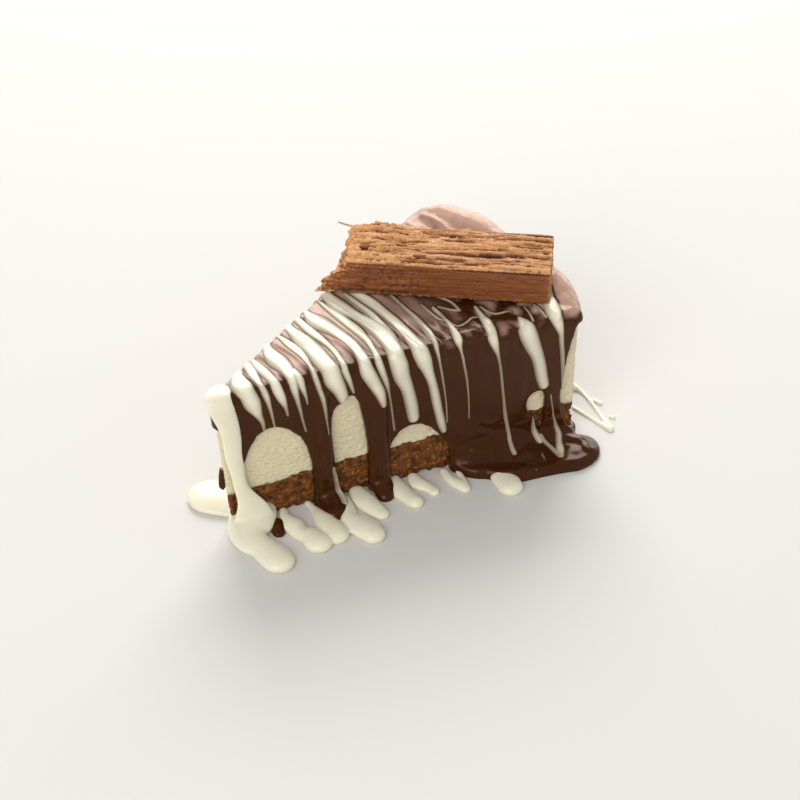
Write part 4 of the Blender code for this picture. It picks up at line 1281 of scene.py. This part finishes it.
def flake_lift(flakes, x, y):
    """Return how high the highest flake stands over a place, and how near its broken edge is."""
    best = 0.0
    near = 0.0
    for flake in flakes:
        share = (x - flake.x) / flake.half_length
        if abs(share) >= 1.0:
            continue
        wander = 0.55 * ripple(x * 0.16, flake.seed, 0.0) + 0.22 * ripple(x * 0.8, flake.seed, 4.0)
        across = (y - flake.y - flake.skew * (x - flake.x) - wander) / flake.width
        if across <= 0.0 or across >= 1.0:
            continue
        edge = min(1.0, across / 0.12)
        lift = flake.height * (1.0 - across) ** 0.7 * (1.0 - share**6) * edge
        if lift > best:
            best = lift
            near = (1.0 - across) * edge
    return best, near


def slit_depth(x, y):
    """Return how deep the slits and holes of the bar's top go at a place; the same depth paints shade in
    them.
    """
    depth = 0.0
    for middle, across, half_length, half_width, deep in BAR_SLITS:
        wander = 0.35 * ripple(x * 0.5, across, 11.0)
        reach = ((x - middle) / half_length) ** 2 + ((y - across - wander) / half_width) ** 2
        depth = max(depth, deep * max(0.0, 1.0 - reach) ** 0.6)
    return depth


def top_relief(place, fine, crumb, ledge, flakes):
    """Return (outward shove, raised share) of the bar's top at a place; the raised share paints highlight on
    the flakes' broken edges and shade in the slits and behind the flakes.
    """
    x, y, _ = place
    lift, near = flake_lift(flakes, x, y)
    broad = ripple(x * 0.05, y * 0.25, 1.0)
    deep = slit_depth(x, y)
    crumbly = clamp((-x - 4.0) / 26.0)
    shove = ledge * (lift - 0.8) + 0.5 * broad + 0.1 * fine + (0.15 + 0.4 * crumbly) * crumb - deep
    # Painted highlight on the flakes' broken edges, painted shade in the slits.
    return shove, 1.0 * near + 0.35 * lift + 0.3 * fine + 0.4 * crumbly * crumb - 0.6 * deep


def groove_share(height, middle):
    """Return how deep a groove along the bar's front is at a height, as a share."""
    return max(0.0, 1.0 - ((height - middle) / GROOVE_HALF_WIDTH) ** 2)


def front_relief(place, share, fine, crumb):
    """Return (outward shove, raised share) of the bar's front at a place; the raised share paints shade in
    the grooves and curls and is lighter along the top and bottom edges.
    """
    x, _, z = place
    upper = clamp((share.z - 0.82) / 0.1)
    lower = clamp((-0.86 - share.z) / 0.1)
    left = clamp((-share.x - 0.1) / 0.3)
    curl = max(0.0, 0.13 - abs(ripple(x * 0.42, z * 0.75, 2.0))) * left
    ledges = ripple(x * 0.03, z * 0.9, 6.0) * (0.3 + 0.5 * left)
    groove = groove_share(share.z, LONG_GROOVE) * clamp(x / 3.0)
    groove = max(groove, 0.7 * groove_share(share.z, LEFT_GROOVE) * left)
    ragged = lower * max(0.0, crumb + 0.1)
    shove = (0.07 * fine + 0.4 * ledges + 2.0 * curl + 0.5 * upper * (0.5 + crumb)
             + 0.7 * ragged - 0.9 * groove)
    # Painted shade in the grooves and curls.
    raised = 0.44 + 0.24 * fine + 0.4 * ledges - 3.0 * curl + 0.55 * upper + 0.9 * ragged - 0.7 * groove
    return shove, raised


def bar_relief(place, share, ledge, top_flakes, side_flakes):
    """Return (outward shove, raised share) of the bar's surface at a place; the raised share is painted
    highlight and shade.
    """
    x, y, z = place
    fine = ripple(x * 0.3, y * 2.0, z * 2.4 + 4.0)
    crumb = ripple(x * 1.2, y * 1.3, z * 1.3 + 9.0)
    if share.z > 0.98:
        return top_relief(place, fine, crumb, ledge, top_flakes)
    if share.y < 0.0:
        return front_relief(place, share, fine, crumb)
    lift, near = flake_lift(side_flakes, x, z)
    return ledge * (lift - 0.3) + 0.15 * fine + 0.16 * crumb, 0.3 + 0.6 * near + 0.2 * fine


def broken_end(place, share, height, front):
    """Return how far the bar's layers run on at its ragged end."""
    broken = max(0.0, -share.x - 0.72) / 0.28
    layer = floor(place.z / 1.7 + 0.8 * ripple(place.y * 0.3, place.z * 0.4, 3.0))
    step = ripple(layer * 7.3, place.y * 0.3, 1.5)
    chips = ripple(place.x * 0.5, place.y * 0.9, place.z * 1.2 + 7.0)
    knob = BAR_KNOB * front**3 * max(0.0, 1.0 - ((height - 0.3) / 0.2) ** 2)
    return broken * (BAR_FOOT * front * (1.0 - height) ** 1.3 + knob + 1.8 * step + 0.9 * chips)


def bar_points(shape, settings):
    """Move a unit block's points into the bar's form and note each one's raised share, which paints highlight
    and shade on the flakes.
    """
    random = Random(BAR_SEED)
    top_flakes = scatter_flakes(random, 190, BAR_DEPTH, (4.0, 17.0), (0.9, 2.9), (0.4, 1.8))
    side_flakes = scatter_flakes(random, 60, BAR_HEIGHT, (6.0, 18.0), (1.2, 3.0), (0.4, 1.1))
    lengths = Vector((BAR_LENGTH, BAR_DEPTH, BAR_HEIGHT))
    raised = shape.verts.layers.float.new("raised")
    for vertex in shape.verts:
        share = 2.0 * vertex.co
        place = Vector([vertex.co[axis] * lengths[axis] for axis in range(3)])
        shove, lifted = bar_relief(place, share, settings.ledge, top_flakes, side_flakes)
        height = share.z * 0.5 + 0.5
        front = 0.5 - 0.5 * share.y
        place.x -= broken_end(place, share, height, front)
        ends = max(0.0, abs(share.x) - 0.97) / 0.03
        chips = ripple(place.x * 0.5, place.y * 0.9, place.z * 1.2 + 7.0)
        grains = noise.noise(Vector((place.x, place.y, place.z)) * 1.3)
        place.x += (0.35 * chips + 0.55 * grains) * ends * (1.0 if share.x > 0.0 else 0.6)
        crumbled = max(0.0, -share.x - 0.8) / 0.2
        # The raised layer paints highlight and shade; the ends and the crumbled end are lighter.
        vertex[raised] = lifted + ends * (0.35 + 0.4 * grains) + crumbled * (0.3 + 0.6 * grains)
        rim = max(abs(share.y), abs(share.z))
        side = Vector((0.0, share.y if abs(share.y) >= rim - 0.02 else 0.0,
                       share.z if abs(share.z) >= rim - 0.02 else 0.0))
        side = side.normalized() * shove
        if share.z < -0.97:
            side.z = max(side.z, 0.0) * 0.3
        bump = max(0.0, 1.0 - ((place.x - BAR_BUMP[0]) / BAR_BUMP[1]) ** 4)
        bump = BAR_BUMP[2] * bump * height * (1.0 - front)
        place.y += side.y
        shoulder = BAR_SHOULDER[1] * max(0.0, (-place.y - BAR_SHOULDER[0]) / BAR_DEPTH) ** 1.5 * height**3
        place.z += side.z + height * BAR_BACK_RISE * (1.0 - front) + bump - shoulder
        vertex.co = place


def make_bar(settings, material):
    """Make the flaked bar: long layers, a ragged broken end and one clean end."""
    shape = bmesh.new()
    bmesh.ops.create_cube(shape, size=1.0)
    for axis, steps in enumerate(BAR_STEPS):
        normal = Vector((0.0, 0.0, 0.0))
        normal[axis] = 1.0
        for step in range(1, steps):
            spot = normal * (step / steps - 0.5)
            bmesh.ops.bisect_plane(shape, geom=shape.verts[:] + shape.edges[:] + shape.faces[:],
                                   plane_co=spot, plane_no=normal)
    bar_points(shape, settings)
    bmesh.ops.scale(shape, vec=(MM, MM, MM), verts=shape.verts[:])
    strand = [(Vector((x, y, z)), UP, half_width, 0.8 * half_width) for x, y, z, half_width in BAR_STRAND]
    body = len(shape.verts)
    loft(shape, ribbon_rings(smooth_path(strand, 0.8), 8))
    raised = shape.verts.layers.float["raised"]
    # The loose strand takes the full painted highlight.
    for number, vertex in enumerate(shape.verts):
        if number >= body:
            vertex[raised] = 1.0
    turn = Matrix.Rotation(BAR_TURN, 4, "Z")
    move = Matrix.Translation(Vector((BAR_PLACE[0], BAR_PLACE[1], BAR_BOTTOM + 0.5 * BAR_HEIGHT)) * MM)
    bmesh.ops.transform(shape, matrix=move @ turn, verts=shape.verts[:])
    return finish_piece("flaked_chocolate", shape, material)


# Materials


def add_node(tree, kind, settings=None, inputs=None):
    """Add a node with its settings, and set or link its inputs."""
    node = tree.nodes.new(kind)
    for name, value in (settings or {}).items():
        setattr(node, name, value)
    for name, value in (inputs or {}).items():
        if isinstance(value, bpy.types.NodeSocket):
            tree.links.new(value, node.inputs[name])
        else:
            node.inputs[name].default_value = value
    return node


def new_material(name, roughness, ior):
    """Return a new material with its node tree, its shader and its object coordinates."""
    material = bpy.data.materials.new(name)
    material.use_nodes = True
    tree = material.node_tree
    shader = tree.nodes["Principled BSDF"]
    shader.inputs["Roughness"].default_value = roughness
    shader.inputs["IOR"].default_value = ior
    coordinates = add_node(tree, "ShaderNodeTexCoord").outputs["Object"]
    return material, tree, shader, coordinates


def solid(colour):
    """Return a colour with its alpha."""
    return (colour[0], colour[1], colour[2], 1.0)


def tint(colour, share):
    """Return a colour made lighter or darker."""
    return tuple(min(1.0, value * share) for value in colour)


def add_noise(tree, place, scale, **inputs):
    """Add a noise texture and return its value."""
    return add_node(tree, "ShaderNodeTexNoise", None, {"Vector": place, "Scale": scale, **inputs}).outputs[0]


def add_mix(tree, share, first, second):
    """Mix two colours, or the sockets that give them, and return the mixed colour."""
    sides = [side if isinstance(side, bpy.types.NodeSocket) else solid(side) for side in (first, second)]
    return add_node(tree, "ShaderNodeMix", {"data_type": "RGBA"},
                    {0: share, 6: sides[0], 7: sides[1]}).outputs[2]


def stretch(tree, value, least, most):
    """Stretch a value so that it runs from 0 to 1 between two of its values."""
    return add_node(tree, "ShaderNodeMapRange", None,
                    {"Value": value, "From Min": least, "From Max": most}).outputs[0]


def attribute(tree, name):
    """Return the value that each point of the piece carries under a name."""
    return add_node(tree, "ShaderNodeAttribute", {"attribute_name": name}).outputs["Fac"]


def finish_shader(tree, shader, colour, height, strength, distance):
    """Give the shader its colour and a bump from a height."""
    tree.links.new(colour, shader.inputs["Base Color"])
    bump = add_node(tree, "ShaderNodeBump", None,
                    {"Height": height, "Strength": strength, "Distance": distance})
    tree.links.new(bump.outputs[0], shader.inputs["Normal"])


def see_through(shader, weight, radius, scale):
    """Let light travel a little way into the material."""
    shader.inputs["Subsurface Weight"].default_value = weight
    shader.inputs["Subsurface Radius"].default_value = radius
    shader.inputs["Subsurface Scale"].default_value = scale


def chocolate_material(sauce):
    """Chocolate sauce, poured warm and still wet: dark and smooth, with sharp soft-box gloss."""
    material, tree, shader, place = new_material("chocolate_sauce_wet", 0.16, 1.33)
    patches = add_noise(tree, place, 90.0, Detail=3.0)
    flow = add_node(tree, "ShaderNodeMapping", None, {"Vector": place, "Scale": (1.0, 1.0, 0.12)})
    streaks = add_noise(tree, flow.outputs[0], 330.0, Detail=2.0)
    blend = add_node(tree, "ShaderNodeMath", {"operation": "MULTIPLY"}, {0: patches, 1: streaks})
    colour = add_mix(tree, blend.outputs[0], tint(sauce.chocolate, 0.8), tint(sauce.chocolate, 1.5))
    # The film colour mixed in: white smeared thinly, and painted reflection and sheen.
    cover = add_node(tree, "ShaderNodeMath", {"operation": "MULTIPLY", "use_clamp": True},
                     {0: attribute(tree, "film"), 1: 0.82})
    milky_and_sheen = add_mix(tree, cover.outputs[0], colour, sauce.film)
    shader.inputs["Specular Tint"].default_value = solid(sauce.gloss)
    gloss = add_node(tree, "ShaderNodeMapRange", None, {"Value": patches, "To Min": 0.11, "To Max": 0.22})
    tree.links.new(gloss.outputs[0], shader.inputs["Roughness"])
    finish_shader(tree, shader, milky_and_sheen, add_noise(tree, place, 420.0, Detail=2.0), 0.12, 0.0005)
    return material


def white_sauce_material(sauce):
    """White chocolate sauce: ivory and slightly see-through, browner where it thins out."""
    material, tree, shader, place = new_material("white_sauce_wet", 0.2, 1.42)
    patches = add_noise(tree, place, 160.0, Detail=2.0)
    tone = add_mix(tree, patches, tint(sauce.white, 0.94), sauce.white)
    colour = add_mix(tree, attribute(tree, "thin"), tone, sauce.white_thin)
    see_through(shader, 0.25, (1.0, 0.8, 0.5), 0.0012)
    finish_shader(tree, shader, colour, add_noise(tree, place, 300.0), 0.1, 0.0004)
    return material


def cream_material(cake):
    """Whipped cheese filling, cut cold: pale and matt, dragged into fine level pits."""
    material, tree, shader, place = new_material("whipped_cheese", 0.62, 1.45)
    patches = add_noise(tree, place, 110.0, Detail=4.0)
    drag = add_node(tree, "ShaderNodeMapping", None, {"Vector": place, "Scale": (1.0, 1.0, 2.4)})
    pits = add_noise(tree, drag.outputs[0], 480.0, Detail=3.0, Roughness=0.6)
    colour = add_mix(tree, patches, tint(cake.cream, 0.9), cake.cream)
    see_through(shader, 0.3, (1.0, 0.8, 0.55), 0.0015)
    finish_shader(tree, shader, colour, pits, 0.8, 0.0015)
    return material


def biscuit_material(cake):
    """Crushed biscuit bound with butter: golden brown grains, darker in the hollows of their bump, partly
    dark crumbs and partly painted shade.
    """
    material, tree, shader, place = new_material("pressed_biscuit", 0.8, 1.45)
    grains = add_node(tree, "ShaderNodeTexVoronoi", None, {"Vector": place, "Scale": 1050.0})
    gaps = add_noise(tree, place, 420.0, Detail=4.0, Roughness=0.65)
    light = add_node(tree, "ShaderNodeSeparateColor", None, {0: grains.outputs["Color"]})
    # Darker in the bump's hollows: partly dark crumbs, partly painted shade.
    crumbs = add_mix(tree, stretch(tree, gaps, 0.4, 0.62), cake.dark_crumbs_and_shade, cake.biscuit)
    colour = add_mix(tree, stretch(tree, light.outputs[0], 0.7, 1.1), crumbs, cake.biscuit_light)
    finish_shader(tree, shader, colour, gaps, 0.9, 0.0012)
    return material


def flake_material(bar):
    """Milk chocolate rolled into thin layers: matt, with painted highlight on the raised edges and painted
    shade between them.
    """
    material, tree, shader, place = new_material("flaked_milk_chocolate", 0.58, 1.45)
    turn = add_node(tree, "ShaderNodeMapping", {"vector_type": "TEXTURE"},
                    {"Vector": place, "Rotation": (0.0, 0.0, BAR_TURN)})
    pull = add_node(tree, "ShaderNodeMapping", None, {"Vector": turn.outputs[0], "Scale": (0.12, 1.0, 1.0)})
    grain = add_noise(tree, pull.outputs[0], 1100.0, Detail=4.0, Roughness=0.6)
    dust = add_noise(tree, place, 900.0, Detail=3.0)
    height = add_node(tree, "ShaderNodeMath", {"operation": "MULTIPLY_ADD"},
                      {0: grain, 1: 0.5, 2: attribute(tree, "raised")}).outputs[0]
    # Painted shade between the flakes and painted highlight on their raised edges.
    sides = add_mix(tree, stretch(tree, height, 0.3, 0.75), bar.flake_shade, bar.flake)
    colour = add_mix(tree, stretch(tree, height, 0.85, 1.4), sides, bar.flake_lit_edge)
    mixed = add_node(tree, "ShaderNodeMath", {"operation": "ADD"}, {0: grain, 1: dust})
    finish_shader(tree, shader, colour, mixed.outputs[0], 0.6, 0.0006)
    return material


def floor_material(studio):
    """Smooth painted board: pale, plain and matt."""
    material, tree, shader, place = new_material("pale_board", 0.7, 1.45)
    colour = add_mix(tree, add_noise(tree, place, 6.0), tint(studio.floor, 0.99), studio.floor)
    tree.links.new(colour, shader.inputs["Base Color"])
    return material


def shared_material(name, make, settings):
    """Return the named material, made on first use."""
    found = bpy.data.materials.get(name)
    return found or make(settings)


def dress(piece, slot, *nodes):
    """Let a piece ride on the model and stand for its nodes; the slot is not used."""
    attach(piece, "root")
    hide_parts(*nodes)


# Operators


class CHEESECAKE_OT_base(bpy.types.Operator):
    """Make the biscuit base"""

    bl_idname = "mesh.cheesecake_base"
    bl_label = "Biscuit Base"

    def execute(self, context):
        cake = context.scene.cheesecake_slice
        dress(make_base(cake, biscuit_material(cake)), "biscuit", "biscuit_base")
        return {"FINISHED"}


class CHEESECAKE_OT_filling(bpy.types.Operator):
    """Make the cream filling"""

    bl_idname = "mesh.cheesecake_filling"
    bl_label = "Cream Filling"

    def execute(self, context):
        filling = make_filling(cream_material(context.scene.cheesecake_slice))
        dress(filling, "cream", "cream_filling")
        return {"FINISHED"}


class CHEESECAKE_OT_chocolate(bpy.types.Operator):
    """Pour the chocolate sauce"""

    bl_idname = "mesh.cheesecake_chocolate"
    bl_label = "Chocolate Sauce"

    def execute(self, context):
        sauce = context.scene.cheesecake_sauce
        dress(make_coat(sauce, chocolate_material(sauce)), "chocolate_sauce", "chocolate_sauce")
        return {"FINISHED"}


class CHEESECAKE_OT_drizzle(bpy.types.Operator):
    """Lay the white drizzle and the white pools that touch the chocolate"""

    bl_idname = "mesh.cheesecake_drizzle"
    bl_label = "White Drizzle"

    def execute(self, context):
        coat = bpy.data.objects.get("poured_chocolate")
        if coat is None:
            raise RuntimeError("the chocolate sauce has to be poured before the drizzle")
        sauce = context.scene.cheesecake_sauce
        white = shared_material("white_sauce_wet", white_sauce_material, sauce)
        dress(make_drizzle(coat, white), "white_sauce", "chocolate_sauce")
        dress(make_pour(sauce, white), "white_sauce", "chocolate_sauce")
        return {"FINISHED"}


class CHEESECAKE_OT_pools(bpy.types.Operator):
    """Make the white pools and the splash that lie clear of the chocolate"""

    bl_idname = "mesh.cheesecake_pools"
    bl_label = "White Pools"

    def execute(self, context):
        sauce = context.scene.cheesecake_sauce
        white = shared_material("white_sauce_wet", white_sauce_material, sauce)
        for name, strokes in LOOSE_POOLS.items():
            dress(make_pool(name, strokes, sauce, white), "white_sauce", name)
        dress(make_splash(white), "white_sauce", "white_splash")
        return {"FINISHED"}


class CHEESECAKE_OT_bar(bpy.types.Operator):
    """Make the flaked chocolate bar"""

    bl_idname = "mesh.cheesecake_bar"
    bl_label = "Flaked Bar"

    def execute(self, context):
        settings = context.scene.cheesecake_bar
        dress(make_bar(settings, flake_material(settings)), "flaked_chocolate", "flaked_bar")
        return {"FINISHED"}


def add_soft_light(row, power):
    """Add a soft box that faces the slice."""
    light = bpy.data.lights.new(row.name, "AREA")
    light.shape = "RECTANGLE"
    light.size = row.width
    light.size_y = row.height
    light.energy = power
    light.color = row.colour
    lamp = bpy.data.objects.new(row.name, light)
    bpy.context.scene.collection.objects.link(lamp)
    lamp.location = row.place
    lamp.rotation_euler = (LIT_POINT - Vector(row.place)).to_track_quat("-Z", "Y").to_euler()
    return lamp


class CHEESECAKE_OT_stage(bpy.types.Operator):
    """Set up the floor, the lights and the camera"""

    bl_idname = "mesh.cheesecake_stage"
    bl_label = "Stage"

    def execute(self, context):
        studio = context.scene.cheesecake_studio
        shape = bmesh.new()
        bmesh.ops.create_grid(shape, x_segments=4, y_segments=4, size=6.0)
        finish_piece("pale_floor", shape, floor_material(studio))
        for light in SOFT_LIGHTS:
            add_soft_light(light, getattr(studio, light.setting))
        world = bpy.data.worlds.new("even_light")
        world.use_nodes = True
        background = world.node_tree.nodes["Background"]
        background.inputs["Color"].default_value = (0.97, 0.98, 1.0, 1.0)
        background.inputs["Strength"].default_value = studio.sky
        context.scene.world = world
        context.scene.view_settings.view_transform = "Standard"
        lens = bpy.data.cameras.new("photo_view")
        lens.lens = VIEW_LENS
        lens.sensor_width = SENSOR
        lens.clip_start = 0.01
        camera = bpy.data.objects.new("photo_view", lens)
        context.scene.collection.objects.link(camera)
        camera.location = view_axes()[0]
        camera.rotation_euler = (pi / 2.0 - VIEW_RISE, 0.0, VIEW_TURN)
        context.scene.camera = camera
        return {"FINISHED"}


OPERATORS = (CHEESECAKE_OT_base, CHEESECAKE_OT_filling, CHEESECAKE_OT_chocolate, CHEESECAKE_OT_drizzle,
             CHEESECAKE_OT_pools, CHEESECAKE_OT_bar, CHEESECAKE_OT_stage)


class VIEW3D_PT_cheesecake(bpy.types.Panel):
    """The buttons that make the slice, in order"""

    bl_label = "Cheesecake Slice"
    bl_idname = "VIEW3D_PT_cheesecake"
    bl_space_type = "VIEW_3D"
    bl_region_type = "UI"
    bl_category = "Cheesecake"

    def draw(self, context):
        for operator in OPERATORS:
            self.layout.operator(operator.bl_idname)


SETTINGS = {
    "cheesecake_slice": SliceSettings,
    "cheesecake_sauce": SauceSettings,
    "cheesecake_bar": BarSettings,
    "cheesecake_studio": StudioSettings,
}


def register():
    """Register the settings, the operators and the panel."""
    for name, group in SETTINGS.items():
        bpy.utils.register_class(group)
        setattr(bpy.types.Scene, name, PointerProperty(type=group))
    for operator in OPERATORS:
        bpy.utils.register_class(operator)
    bpy.utils.register_class(VIEW3D_PT_cheesecake)


def unregister():
    """Take everything back that register added."""
    bpy.utils.unregister_class(VIEW3D_PT_cheesecake)
    for operator in reversed(OPERATORS):
        bpy.utils.unregister_class(operator)
    for name, group in SETTINGS.items():
        delattr(bpy.types.Scene, name)
        bpy.utils.unregister_class(group)


def main():
    """Make the whole slice and set the stage."""
    register()
    bpy.ops.mesh.cheesecake_base()
    bpy.ops.mesh.cheesecake_filling()
    bpy.ops.mesh.cheesecake_chocolate()
    bpy.ops.mesh.cheesecake_drizzle()
    bpy.ops.mesh.cheesecake_pools()
    bpy.ops.mesh.cheesecake_bar()
    bpy.ops.mesh.cheesecake_stage()


if __name__ == "__main__":
    main()
